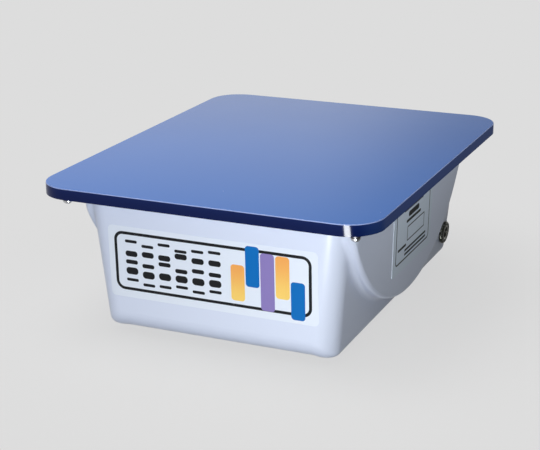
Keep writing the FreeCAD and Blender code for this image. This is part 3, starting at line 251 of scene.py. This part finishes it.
# Inlet: a nickel-plated barrel through the right wall, clamped by a knurled ring outside
# and a nut inside. Its black disc carries a brass pin, and a brass tab takes the other wire.
def nickel_finish(name, colour, roughness):
    """Old nickel plate: dull olive grey in the hollows, with brighter rubbed places."""
    material, tree, shader = start_finish(name)
    rubbed_colour = (0.55, 0.54, 0.49, 1)
    where = node(tree, "TexCoord").outputs["Object"]
    cloud = node(tree, "TexNoise", {"Vector": where, "Scale": 900.0, "Detail": 5.0})
    tone = paint(tree, colour, rubbed_colour, past(tree, cloud.outputs[0], 0.59, 0.09))
    finish_surface(tree, shader, tone, roughness, tint=0.2, patches=300.0, spread=0.18, grain=4200.0,
                   relief=0.00001, Metallic=1.0)
    return material


ring_finish = nickel_finish("inlet_ring_nickel", (0.05, 0.052, 0.04, 1), 0.36)
dress(ring_finish, "inlet_ring")
barrel_finish = nickel_finish("inlet_barrel_nickel", (0.34, 0.34, 0.31, 1), 0.26)
dress(barrel_finish, "inlet_barrel", "inlet_nut", "fuse_clips")
brass_finish = plain_finish("turned_brass", (0.62, 0.44, 0.17, 1), 0.3, tint=0.25, patches=500.0,
                            spread=0.16, grain=3800.0, relief=0.00001, Metallic=1.0)
dress(brass_finish, "inlet_pin", "inlet_tab", "lamp_pins", "switch_tabs")
black_finish = plain_finish("black_moulding", (0.016, 0.016, 0.018, 1), 0.38, tint=0.3, patches=220.0,
                            spread=0.12, grain=1900.0, relief=0.00003)
dress(black_finish, "inlet_plug", "switch_frame", "switch_rocker")

# Switch: a black rocker in a frame in the back wall. A bar is printed in white on its upper face
# and a ring on its lower one. The faces tilt to either side of a shallow valley over the pivot.
mark_finish = plain_finish("printed_white", (0.78, 0.78, 0.76, 1), 0.5, tint=0.08, patches=900.0,
                           grain=4000.0)
rocker_joint = next(joint for joint in frame["joints"] if joint["name"] == "rocker_tilt")
pivot = Vector(rocker_joint["pos_m"])
wall_lean = math.radians(1.55)
face_tilt = math.radians(11)
face_reach = 0.0036
valley_rise = 0.0033
face_rise = valley_rise + math.tan(face_tilt) * face_reach
mark_depth = 0.00006
bar_width = 0.0007
bar_height = 0.0032
ring_inner = 0.0011
ring_outer = 0.0017
for name, side in (("mark_on", 1), ("mark_off", -1)):
    stand = Matrix.Translation(pivot) @ Matrix.Rotation(-wall_lean - face_tilt, 4, 'X')
    stand = stand @ Matrix.Translation((0, face_rise, side * face_reach))
    stand = stand @ Matrix.Rotation(-side * face_tilt, 4, 'X')
    mesh = bmesh.new()
    if side > 0:
        bar_size = Matrix.Diagonal((bar_width, 2 * mark_depth, bar_height, 1))
        bmesh.ops.create_cube(mesh, size=1.0, matrix=bar_size)
    else:
        section = ((ring_inner, -mark_depth), (ring_outer, -mark_depth),
                   (ring_outer, mark_depth), (ring_inner, mark_depth))
        corners = [mesh.verts.new((radius, level, 0.0)) for radius, level in section]
        ring_edges = [mesh.edges.new((corners[i], corners[(i + 1) % 4])) for i in range(4)]
        bmesh.ops.spin(mesh, geom=corners + ring_edges, cent=(0, 0, 0), axis=(0, 1, 0),
                       angle=2 * math.pi, steps=40, use_merge=True)
        bmesh.ops.recalc_face_normals(mesh, faces=mesh.faces)
    bmesh.ops.transform(mesh, matrix=stand, verts=mesh.verts)
    mark_data = bpy.data.meshes.new(name)
    mesh.to_mesh(mark_data)
    mesh.free()
    mark_data.materials.append(mark_finish)
    mark = bpy.data.objects.new(name, mark_data)
    bpy.context.scene.collection.objects.link(mark)
    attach(mark, "rocker")

# Driver board: green varnished glass fibre with bright tracks, and the parts soldered on it.
# It stands on four short posts in the tub and feeds both lamps.
board_finish, tree, shader = start_finish("varnished_board")
across, along, up = place_on(tree)
track_pitch = 0.004
track_run = 0.011
track_half_width = 0.0007
track_soft = 0.0001
bare_share = 0.475
track_row = sums(tree, 'PINGPONG', sums(tree, 'ADD', along, 1.0), track_pitch / 2)
track_cell = node(tree, "CombineXYZ", {0: sums(tree, 'FLOOR', sums(tree, 'DIVIDE', across, track_run)),
                                       1: sums(tree, 'FLOOR', sums(tree, 'DIVIDE', along, track_pitch))})
track_gate = node(tree, "TexWhiteNoise", {"Vector": track_cell.outputs[0]}, noise_dimensions='2D')
track = sums(tree, 'MULTIPLY', before(tree, track_row, track_half_width, track_soft),
             past(tree, track_gate.outputs[0], bare_share, 0.025))
varnish = paint(tree, (0.012, 0.10, 0.04, 1), (0.045, 0.24, 0.09, 1), track)
finish_surface(tree, shader, varnish, 0.3, tint=0.2, patches=60.0, spread=0.1, grain=1500.0, relief=0.00002,
               Coat_Weight=0.4, Coat_Roughness=0.15)
dress(board_finish, "ballast_board")

ferrite_finish = plain_finish("sintered_ferrite", (0.03, 0.03, 0.033, 1), 0.62, tint=0.5, patches=700.0,
                              spread=0.2, grain=2600.0, relief=0.00005)
dress(ferrite_finish, "transformer_core")

# Transformer winding: enamelled copper on a bobbin with a flange at each end.
# The turns lie side by side, so the winding shows as fine level rings, with painted shade
# in the creases between them.
winding_finish, tree, shader = start_finish("wound_copper")
across, along, up = place_on(tree)
low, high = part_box("transformer_winding")
flange_thickness = 0.001
flange_soft = 0.0001
flange = sums(tree, 'MAXIMUM', before(tree, up, low.z + flange_thickness, flange_soft),
              past(tree, up, high.z - flange_thickness, flange_soft))
turn_pitch = 0.0007
crease_shade_width = 0.0002
crease_shade = sums(tree, 'PINGPONG', up, turn_pitch / 2)
# Painted shade: the copper is darker in the creases between neighbouring turns.
copper = paint(tree, (0.20, 0.06, 0.018, 1), (0.58, 0.22, 0.09, 1), ramp(tree, crease_shade, 0.0, crease_shade_width))
tone = paint(tree, copper, (0.72, 0.68, 0.55, 1), flange)
finish_surface(tree, shader, tone, 0.36, tint=0.15, patches=200.0, relief=0.00002, Coat_Weight=0.3)
dress(winding_finish, "transformer_winding")

# Capacitors: sleeved aluminium cans with a bare top and a pale stripe down the sleeve,
# and two moulded film capacitors.
can_finish, tree, shader = start_finish("capacitor_sleeve")
facing = facing_on(tree)
top = past(tree, facing[2], 0.7, 0.1)
stripe = past(tree, facing[0], 0.94, 0.01)
sleeve = paint(tree, (0.02, 0.025, 0.06, 1), (0.5, 0.52, 0.56, 1), stripe)
finish_surface(tree, shader, paint(tree, sleeve, (0.6, 0.61, 0.62, 1), top), 0.35, tint=0.15,
               patches=240.0, spread=0.1, Metallic=top)
dress(can_finish, "electrolytic_capacitors")
film_finish = plain_finish("film_capacitor_case", (0.46, 0.21, 0.02, 1), 0.42, tint=0.15, patches=160.0,
                           spread=0.1, grain=2200.0, relief=0.00003)
dress(film_finish, "film_capacitors")

# Heat sink: an extruded aluminium bar, drawn upright, with fine lines left by the die.
# Two transistors in black cases stand against its plain face.
sink_finish, tree, shader = start_finish("extruded_aluminium")
across, along, up = place_on(tree)
die_stretch = 0.02
stretched = node(tree, "CombineXYZ", {0: across, 1: along, 2: sums(tree, 'MULTIPLY', up, die_stretch)})
lines = node(tree, "TexNoise", {"Vector": stretched.outputs[0], "Scale": 2600.0, "Detail": 3.0})
tone = paint(tree, (0.46, 0.47, 0.49, 1), (0.7, 0.71, 0.72, 1), lines.outputs[0])
finish_surface(tree, shader, tone, 0.36, tint=0.1, patches=90.0, spread=0.1, Metallic=1.0)
dress(sink_finish, "heat_sink")

transistor_finish, tree, shader = start_finish("transistor_case_and_tab")
across, along, up = place_on(tree)
low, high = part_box("power_transistors")
tab_thickness = 0.0013
leg_height = 0.004
metal = sums(tree, 'MAXIMUM', before(tree, along, low.y + tab_thickness, 0.00002),
             before(tree, up, low.z + leg_height, 0.0001))
tone = paint(tree, (0.014, 0.014, 0.015, 1), (0.56, 0.56, 0.55, 1), metal)
finish_surface(tree, shader, tone, 0.42, tint=0.2, patches=400.0, spread=0.15, grain=3000.0, Metallic=metal)
dress(transistor_finish, "power_transistors")

# Terminals and fuse: green screw terminals along the board's back edge,
# and a glass fuse whose nickel caps sit in two spring clips.
terminal_finish = plain_finish("terminal_moulding", (0.02, 0.19, 0.09, 1), 0.44, tint=0.2, patches=180.0,
                               spread=0.1, grain=1800.0, relief=0.00003)
dress(terminal_finish, "input_terminals", "output_terminals")
fuse_finish, tree, shader = start_finish("fuse_glass_and_caps")
across, along, up = place_on(tree)
low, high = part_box("fuse_tube")
middle = (low.x + high.x) / 2
glass_half_length = 0.005
cap = past(tree, sums(tree, 'ABSOLUTE', sums(tree, 'SUBTRACT', across, middle)), glass_half_length, 0.0001)
tone = paint(tree, (0.72, 0.76, 0.74, 1), (0.56, 0.55, 0.52, 1), cap)
finish_surface(tree, shader, tone, 0.16, tint=0.1, patches=300.0, spread=0.08, Metallic=cap,
               Coat_Weight=0.5)
dress(fuse_finish, "fuse_tube")


# Leads inside: red and black insulated wire from the inlet over the switch to the board,
# and a grey pair-cable up to each lamp socket. They are laid in when the parts are screwed down.
def insulation(name, colour):
    """Extruded wire insulation of one colour, with slow patches in its tone and gloss."""
    return plain_finish(name, colour, 0.4, tint=0.25, patches=120.0, spread=0.12, grain=1600.0,
                        relief=0.00003)


dress(insulation("red_insulation", (0.34, 0.012, 0.01, 1)), "supply_wire", "switched_wire")
dress(insulation("black_insulation", (0.014, 0.014, 0.015, 1)), "return_wire")
dress(insulation("grey_insulation", (0.17, 0.18, 0.19, 1)), "lamp_cable_1", "lamp_cable_2")

# Reflector tray: bright rolled aluminium sheet, folded, with rolling lines along it.
# It lies on the four tall posts and carries the lamps and the diffuser.
tray_finish, tree, shader = start_finish("rolled_reflector_sheet")
across, along, up = place_on(tree)
rolling_stretch = 0.015
stretched = node(tree, "CombineXYZ", {0: across, 1: sums(tree, 'MULTIPLY', along, rolling_stretch), 2: up})
lines = node(tree, "TexNoise", {"Vector": stretched.outputs[0], "Scale": 1500.0, "Detail": 4.0})
tone = paint(tree, (0.72, 0.73, 0.75, 1), (0.88, 0.89, 0.9, 1), lines.outputs[0])
finish_surface(tree, shader, tone, 0.22, tint=0.05, patches=25.0, spread=0.1, Metallic=1.0)
dress(tray_finish, "reflector_tray")

# Lamps: white-coated glass tubes with a moulded cap, plugged into sockets on the tray.
# The coating darkens towards the cap, where the electrodes are.
lamp_finish, tree, shader = start_finish("coated_lamp_glass")
across, along, up = place_on(tree)
low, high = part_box("lamp_1_tube")
electrode_length = 0.014
dark_end = ramp(tree, along, high.y - electrode_length, high.y)
tone = paint(tree, (0.82, 0.84, 0.86, 1), (0.36, 0.35, 0.34, 1), dark_end)
finish_surface(tree, shader, tone, 0.12, tint=0.05, patches=70.0, spread=0.05, Coat_Weight=0.6)
dress(lamp_finish, "lamp_1_tube", "lamp_2_tube")
lamp_cap_finish = plain_finish("lamp_cap_moulding", (0.74, 0.74, 0.71, 1), 0.42, tint=0.08, patches=90.0,
                               spread=0.1, grain=1700.0, relief=0.00003)
dress(lamp_cap_finish, "lamp_1_cap", "lamp_2_cap", "lamp_socket_1", "lamp_socket_2")

# Diffuser: a sheet of opal acrylic on the tray's flange.
# Light spreads inside it, so its edge and face look milky.
opal_finish = plain_finish("opal_sheet", (0.84, 0.86, 0.88, 1), 0.24, tint=0.03, patches=12.0, spread=0.06,
                           grain=600.0, relief=0.00001, Subsurface_Weight=0.4, Subsurface_Scale=0.004)
dress(opal_finish, "diffuser_sheet")

# Gasket: closed-cell foam, die-cut, squeezed between the tub's rim and the plate.
# The walls between its cut cells show as a fine darker net.
foam_finish, tree, shader = start_finish("closed_cell_foam")
where = node(tree, "TexCoord").outputs["Object"]
cells = node(tree, "TexVoronoi", {"Vector": where, "Scale": 2200.0})
tone = paint(tree, (0.03, 0.03, 0.034, 1), (0.008, 0.008, 0.009, 1), ramp(tree, cells.outputs[0], 0.1, 0.5))
finish_surface(tree, shader, tone, 0.85, tint=0.2, patches=120.0, spread=0.1)
dress(foam_finish, "plate_gasket")

# Viewing plate: 7.5 mm acrylic, blue right through. Its polished face looks lighter over the white
# light box. The sawn edge shows the full depth and is darker towards its bottom. It is painted with
# a faint glow, strongest on its right side, and with a painted highlight along its rounded upper rim.
face_finish, tree, shader = start_finish("blue_acrylic_face")
where = node(tree, "TexCoord").outputs["Object"]
haze = node(tree, "TexNoise", {"Vector": where, "Scale": 5.0, "Detail": 2.0})
face_tone = paint(tree, (0.019, 0.118, 0.43, 1), (0.026, 0.142, 0.48, 1), haze.outputs[0])
dust_colour = (0.5, 0.58, 0.75, 1)
dust_strength = 0.4
specks = node(tree, "TexVoronoi", {"Vector": where, "Scale": 42.0})
dust = ramp(tree, specks.outputs[0], 0.012, 0.02, dust_strength, 0.0)
face_tone = paint(tree, face_tone, dust_colour, dust)
finish_surface(tree, shader, face_tone, 0.13, tint=0.04, patches=6.0, spread=0.05, grain=300.0,
               relief=0.000002, IOR=1.49)

edge_finish, tree, shader = start_finish("blue_acrylic_edge")
across, along, up = place_on(tree)
low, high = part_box("filter_plate")
# The edge's colour goes from darker at its bottom to lighter at its top.
edge_height_share = ramp(tree, up, low.z, high.z)
edge_tone = paint(tree, (0.0015, 0.0045, 0.028, 1), (0.0025, 0.0075, 0.042, 1), edge_height_share)
# Painted highlight: a pale band along the top of the edge, where the rim is rounded.
highlight_band_depth = 0.0006
painted_rim_highlight = (0.23, 0.29, 0.50, 1)
edge_tone = paint(tree, edge_tone, painted_rim_highlight, past(tree, up, high.z - highlight_band_depth, 0.0001))
finish_surface(tree, shader, edge_tone, 0.13, tint=0.1, patches=30.0, spread=0.06, grain=700.0,
               relief=0.000001)
shader.inputs["Specular IOR Level"].default_value = 0.16
# Painted light: the edge emits a faint blue glow, stronger where it faces right.
painted_glow_front = (0.0002, 0.0032, 0.032, 1)
painted_glow_right = (0.006, 0.017, 0.062, 1)
right_facing_glow = past(tree, facing_on(tree)[0], 0.7, 0.2)
feed(tree, shader.inputs["Emission Color"], paint(tree, painted_glow_front, painted_glow_right, right_facing_glow))
shader.inputs["Emission Strength"].default_value = 1.0

weld_distance = 0.000002
upward = 0.9
sharpest_smooth = math.radians(35)
solid = frame["nodes"]["filter_plate"]
mesh = bmesh.new()
mesh.from_mesh(solid.data)
bmesh.ops.transform(mesh, matrix=solid.matrix_world, verts=mesh.verts)
bmesh.ops.remove_doubles(mesh, verts=mesh.verts, dist=weld_distance)
for face in mesh.faces:
    face.material_index = 0 if face.normal.z > upward else 1
    face.smooth = True
for edge in mesh.edges:
    edge.smooth = edge.calc_face_angle(0.0) < sharpest_smooth
plate_data = bpy.data.meshes.new("viewing_plate")
mesh.to_mesh(plate_data)
mesh.free()
plate_data.materials.append(face_finish)
plate_data.materials.append(edge_finish)
plate = bpy.data.objects.new("viewing_plate", plate_data)
plate.modifiers.new("even_shading", 'WEIGHTED_NORMAL').keep_sharp = True
bpy.context.scene.collection.objects.link(plate)
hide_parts("filter_plate")
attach(plate, "root")
dress(face_finish, "filter_plate")


# Front sticker: printed white film with a black rounded border.
# Its print is plain: black bands in lanes on the left and coloured bars on the right.
def make_rounded_patch():
    """Distance to the outline of a rounded rectangle, negative inside, and a mask of its inside."""
    numbers = ["Across", "Up", "Middle Across", "Middle Up", "Half Width", "Half Height", "Corner", "Soft"]
    tree, given, out = shared_effect("rounded_patch", [(word, "Float", 0.0) for word in numbers],
                                     [("Distance", "Float"), ("Inside", "Float")])
    sides = []
    for place, centre, half in (("Across", "Middle Across", "Half Width"),
                                ("Up", "Middle Up", "Half Height")):
        off = sums(tree, 'ABSOLUTE', sums(tree, 'SUBTRACT', given[place], given[centre]))
        sides.append(sums(tree, 'ADD', sums(tree, 'SUBTRACT', off, given[half]), given["Corner"]))
    outside = [sums(tree, 'POWER', sums(tree, 'MAXIMUM', side, 0.0), 2.0) for side in sides]
    corner = sums(tree, 'SQRT', sums(tree, 'ADD', outside[0], outside[1]))
    inside = sums(tree, 'MINIMUM', sums(tree, 'MAXIMUM', sides[0], sides[1]), 0.0)
    distance = sums(tree, 'SUBTRACT', sums(tree, 'ADD', corner, inside), given["Corner"])
    feed(tree, out["Distance"], distance)
    soft = sums(tree, 'MULTIPLY', given["Soft"], -1.0)
    feed(tree, out["Inside"], ramp(tree, distance, soft, given["Soft"], 1.0, 0.0))
    return tree


rounded_patch = make_rounded_patch()
print_soft = 0.00008


def patch(tree, across, up, middle_across, middle_up, half_width, half_height, corner):
    """One rounded rectangle on a sticker: a group node with its two outputs."""
    made = node(tree, "Group", node_tree=rounded_patch)
    values = (across, up, middle_across, middle_up, half_width, half_height, corner, print_soft)
    for socket, value in zip(made.inputs, values):
        feed(tree, socket, value)
    return made


def block(tree, *rectangle):
    """A filled rounded rectangle."""
    return patch(tree, *rectangle).outputs["Inside"]


def border(tree, line, *rectangle):
    """A line just inside a rounded rectangle's outline."""
    return between(tree, patch(tree, *rectangle).outputs["Distance"], -line, 0.0, print_soft)


paper = (0.78, 0.84, 0.93, 1)
ink = (0.006, 0.007, 0.009, 1)
front_finish, tree, shader = start_finish("front_sticker_print")
across, along, up = place_on(tree)
border_middle = 0.0543
border_half_width = 0.0682
border_half_height = 0.0200
border_corner = 0.0062
border_line = 0.0020
frame_line = border(tree, border_line, across, up, 0.0, border_middle, border_half_width,
                    border_half_height, border_corner)
tone = paint(tree, paper, ink, frame_line)

lane_left = -0.0620
lane_pitch = 0.0118
lane_count = 6
band_half_width = 0.0043
band_shift = 0.0034
band_roundness = 0.9
bands = [(0.0672, 0.0010), (0.0606, 0.0019), (0.0540, 0.0014), (0.0466, 0.0024), (0.0407, 0.0010)]
lane = sums(tree, 'FLOOR', sums(tree, 'DIVIDE', sums(tree, 'SUBTRACT', across, lane_left), lane_pitch))
lane_middle = sums(tree, 'ADD', sums(tree, 'MULTIPLY', sums(tree, 'ADD', lane, 0.5), lane_pitch), lane_left)
in_lanes = between(tree, lane, -0.5, lane_count - 0.5, 0.01)
for number, (level, half_height) in enumerate(bands):
    seed = node(tree, "CombineXYZ", {0: sums(tree, 'ADD', lane, 0.5), 1: number + 0.5})
    chance = node(tree, "TexWhiteNoise", {"Vector": seed.outputs[0]}, noise_dimensions='2D')
    shift = sums(tree, 'MULTIPLY', sums(tree, 'SUBTRACT', chance.outputs["Value"], 0.5), band_shift)
    band = block(tree, across, up, lane_middle, sums(tree, 'ADD', shift, level), band_half_width,
                 half_height, half_height * band_roundness)
    tone = paint(tree, tone, ink, sums(tree, 'MULTIPLY', band, in_lanes))

print_blue = (0.0, 0.147, 0.479, 1)
print_violet = (0.262, 0.205, 0.485, 1)
print_amber = (0.913, 0.402, 0.102, 1)
print_yellow = (0.956, 0.645, 0.156, 1)
bar_half_width = 0.0047
bar_corner = 0.0022
bars = [(0.0186, 0.0505, 0.0120, print_amber, print_yellow),
        (0.0287, 0.0625, 0.0135, print_blue, print_blue),
        (0.0388, 0.0535, 0.0190, print_violet, print_violet),
        (0.0489, 0.0580, 0.0140, print_amber, print_yellow),
        (0.0590, 0.0440, 0.0125, print_blue, print_blue)]
for middle, level, half_height, foot_colour, head_colour in bars:
    bar = block(tree, across, up, middle, level, bar_half_width, half_height, bar_corner)
    fade = past(tree, up, level, half_height)
    tone = paint(tree, tone, paint(tree, head_colour, foot_colour, fade), bar)
finish_surface(tree, shader, tone, 0.42, tint=0.02, patches=40.0, spread=0.05, grain=1400.0,
               relief=0.000002)
shader.inputs["Specular IOR Level"].default_value = 0.25
dress(front_finish, "front_label")

# Side sticker: printed film on the right pod, greyer than the front one, with a thin border.
# Inside the border it holds plain rules and an empty box.
side_finish, tree, shader = start_finish("side_sticker_print")
across, along, up = place_on(tree)
side_paper = (0.66, 0.74, 0.83, 1)
side_ink = (0.006, 0.008, 0.009, 1)
outlines = [(0.0011, 0.0005, 0.0630, 0.0350, 0.0210, 0.0035),
            (0.0008, 0.0060, 0.0590, 0.0180, 0.0052, 0.0008)]
rules = [(0.0005, 0.0768, 0.0200, 0.0011), (0.0005, 0.0722, 0.0110, 0.0019),
         (0.0005, 0.0680, 0.0150, 0.0010), (-0.0220, 0.0520, 0.0085, 0.0009),
         (0.0060, 0.0484, 0.0225, 0.0008), (0.0060, 0.0455, 0.0225, 0.0008)]
tone = side_paper
for line, middle, level, half_width, half_height, corner in outlines:
    box = border(tree, line, along, up, middle, level, half_width, half_height, corner)
    tone = paint(tree, tone, side_ink, box)
for middle, level, half_width, half_height in rules:
    rule = block(tree, along, up, middle, level, half_width, half_height, half_height)
    tone = paint(tree, tone, side_ink, rule)
finish_surface(tree, shader, tone, 0.45, tint=0.03, patches=50.0, spread=0.06, grain=1400.0,
               relief=0.000002)
shader.inputs["Specular IOR Level"].default_value = 0.2
dress(side_finish, "side_label")


# Studio: a plain pale floor that fades into a plain pale background, and soft light.
# None of it belongs to the object.
def aimed(obj, place, target):
    """Stand a light at a place, facing a target."""
    obj.location = place
    obj.rotation_euler = (Vector(target) - Vector(place)).to_track_quat('-Z', 'Y').to_euler()
    bpy.context.scene.collection.objects.link(obj)
    return obj


def softbox(name, place, target, width, height, power, colour):
    """A soft rectangular lamp."""
    data = bpy.data.lights.new(name, 'AREA')
    data.shape = 'RECTANGLE'
    data.size = width
    data.size_y = height
    data.energy = power
    data.color = colour
    return aimed(bpy.data.objects.new(name, data), place, target)


front_light = softbox("front_softbox", (0.22, -0.61, 0.17), (0.06, -0.12, 0.06),
                      width=0.3, height=0.25, power=2.12, colour=(1.0, 1.0, 1.0))
top_light = softbox("top_softbox", (-0.12, -0.15, 0.56), (-0.08, -0.1, 0.1),
                    width=0.3, height=0.3, power=2.0, colour=(1.0, 1.0, 1.0))
corner_light = softbox("corner_strip", (0.176, -0.394, 0.012), (0.11, -0.13, 0.1),
                       width=0.085, height=0.05, power=0.95, colour=(0.95, 0.98, 1.0))
right_light = softbox("right_strip", (0.155, 0.04, 0.104), (0.09, 0.04, 0.088),
                      width=0.26, height=0.015, power=0.025, colour=(0.98, 1.0, 0.99))
fill_light = softbox("corner_fill", (0.26, -0.37, 0.11), (0.085, -0.115, 0.05),
                     width=0.1, height=0.1, power=0.24, colour=(0.88, 0.95, 1.0))
corner_light.visible_diffuse = False
for light in (front_light, right_light, fill_light):
    light.visible_glossy = False
for light in (front_light, top_light, corner_light, right_light, fill_light):
    light.visible_camera = False


def grey(tree, level):
    """A colour with the same level in each channel."""
    return node(tree, "CombineColor", {0: level, 1: level, 2: level}).outputs[0]


world = bpy.data.worlds.new("studio")
bpy.context.scene.world = world
world.use_nodes = True
tree = world.node_tree
rays = node(tree, "LightPath").outputs
way = node(tree, "TexCoord").outputs["Generated"]
to_right, to_back, to_top = node(tree, "SeparateXYZ", {0: way}).outputs

# Soft light on matt faces: strong from the left, and weak and bluish from below.
left_level = 0.62
right_level = 0.05
from_below = (0.16, 0.27, 0.50)
sideways = ramp(tree, to_right, -0.8, 0.7, left_level, right_level)
channels = [sums(tree, 'MULTIPLY', sideways, ramp(tree, to_top, -0.5, 0.1, share, 1.0))
            for share in from_below]
soft_light = node(tree, "CombineColor", dict(enumerate(channels)))

# What glossy faces mirror: a panel above the horizon that is brightest at the left and fades
# upwards and towards the viewer, and a dimmer ground that darkens to the right.
panel_left = 0.92
panel_right = 0.38
fade_from = 0.24
fade_rate = 5.5
panel_darkest = 0.3
panel_brightest = 0.97
viewer_share = 0.45
ground_left = 0.58
ground_right = 0.12
level = ramp(tree, to_right, -0.375, -0.235, panel_left, panel_right)
faded = sums(tree, 'MULTIPLY', sums(tree, 'SUBTRACT', to_top, fade_from), fade_rate)
above = sums(tree, 'MAXIMUM', sums(tree, 'SUBTRACT', level, faded), panel_darkest)
above = sums(tree, 'MINIMUM', above, panel_brightest)
above = sums(tree, 'MULTIPLY', above, ramp(tree, to_back, 0.0, 0.6, viewer_share, 1.0))
below = ramp(tree, to_right, -0.2, 0.28, ground_left, ground_right)
mirrored = paint(tree, grey(tree, below), grey(tree, above), past(tree, to_top, 0.0, 0.02))
shown = paint(tree, soft_light.outputs[0], mirrored, rays["Is Glossy Ray"])
background_level = 0.723
backdrop = (background_level, background_level, background_level, 1)
seen = sums(tree, 'MAXIMUM', rays["Is Camera Ray"], rays["Is Transmission Ray"])
tree.nodes["Background"].inputs["Strength"].default_value = 1.0
feed(tree, tree.nodes["Background"].inputs["Color"], paint(tree, shown, backdrop, seen))

floor_radius = 2.4
mesh = bmesh.new()
bmesh.ops.create_circle(mesh, cap_ends=True, segments=96, radius=floor_radius)
floor_data = bpy.data.meshes.new("studio_floor")
mesh.to_mesh(floor_data)
mesh.free()
floor = bpy.data.objects.new("studio_floor", floor_data)
bpy.context.scene.collection.objects.link(floor)
floor_finish, tree, shader = start_finish("studio_floor_paper")
across, along, up = place_on(tree)
shade_strength = 0.16
shade_start = 0.10
shade_end = 0.28
squares = sums(tree, 'ADD', sums(tree, 'POWER', across, 2.0), sums(tree, 'POWER', along, 2.0))
reach = sums(tree, 'SQRT', squares)
feed(tree, shader.inputs["Alpha"], ramp(tree, reach, shade_start, shade_end, shade_strength, 0.0))
finish_surface(tree, shader, (0.74, 0.74, 0.74, 1), 0.9, tint=0.01, patches=3.0, relief=0.000001)
shader.inputs["Specular IOR Level"].default_value = 0.0
floor_data.materials.append(floor_finish)
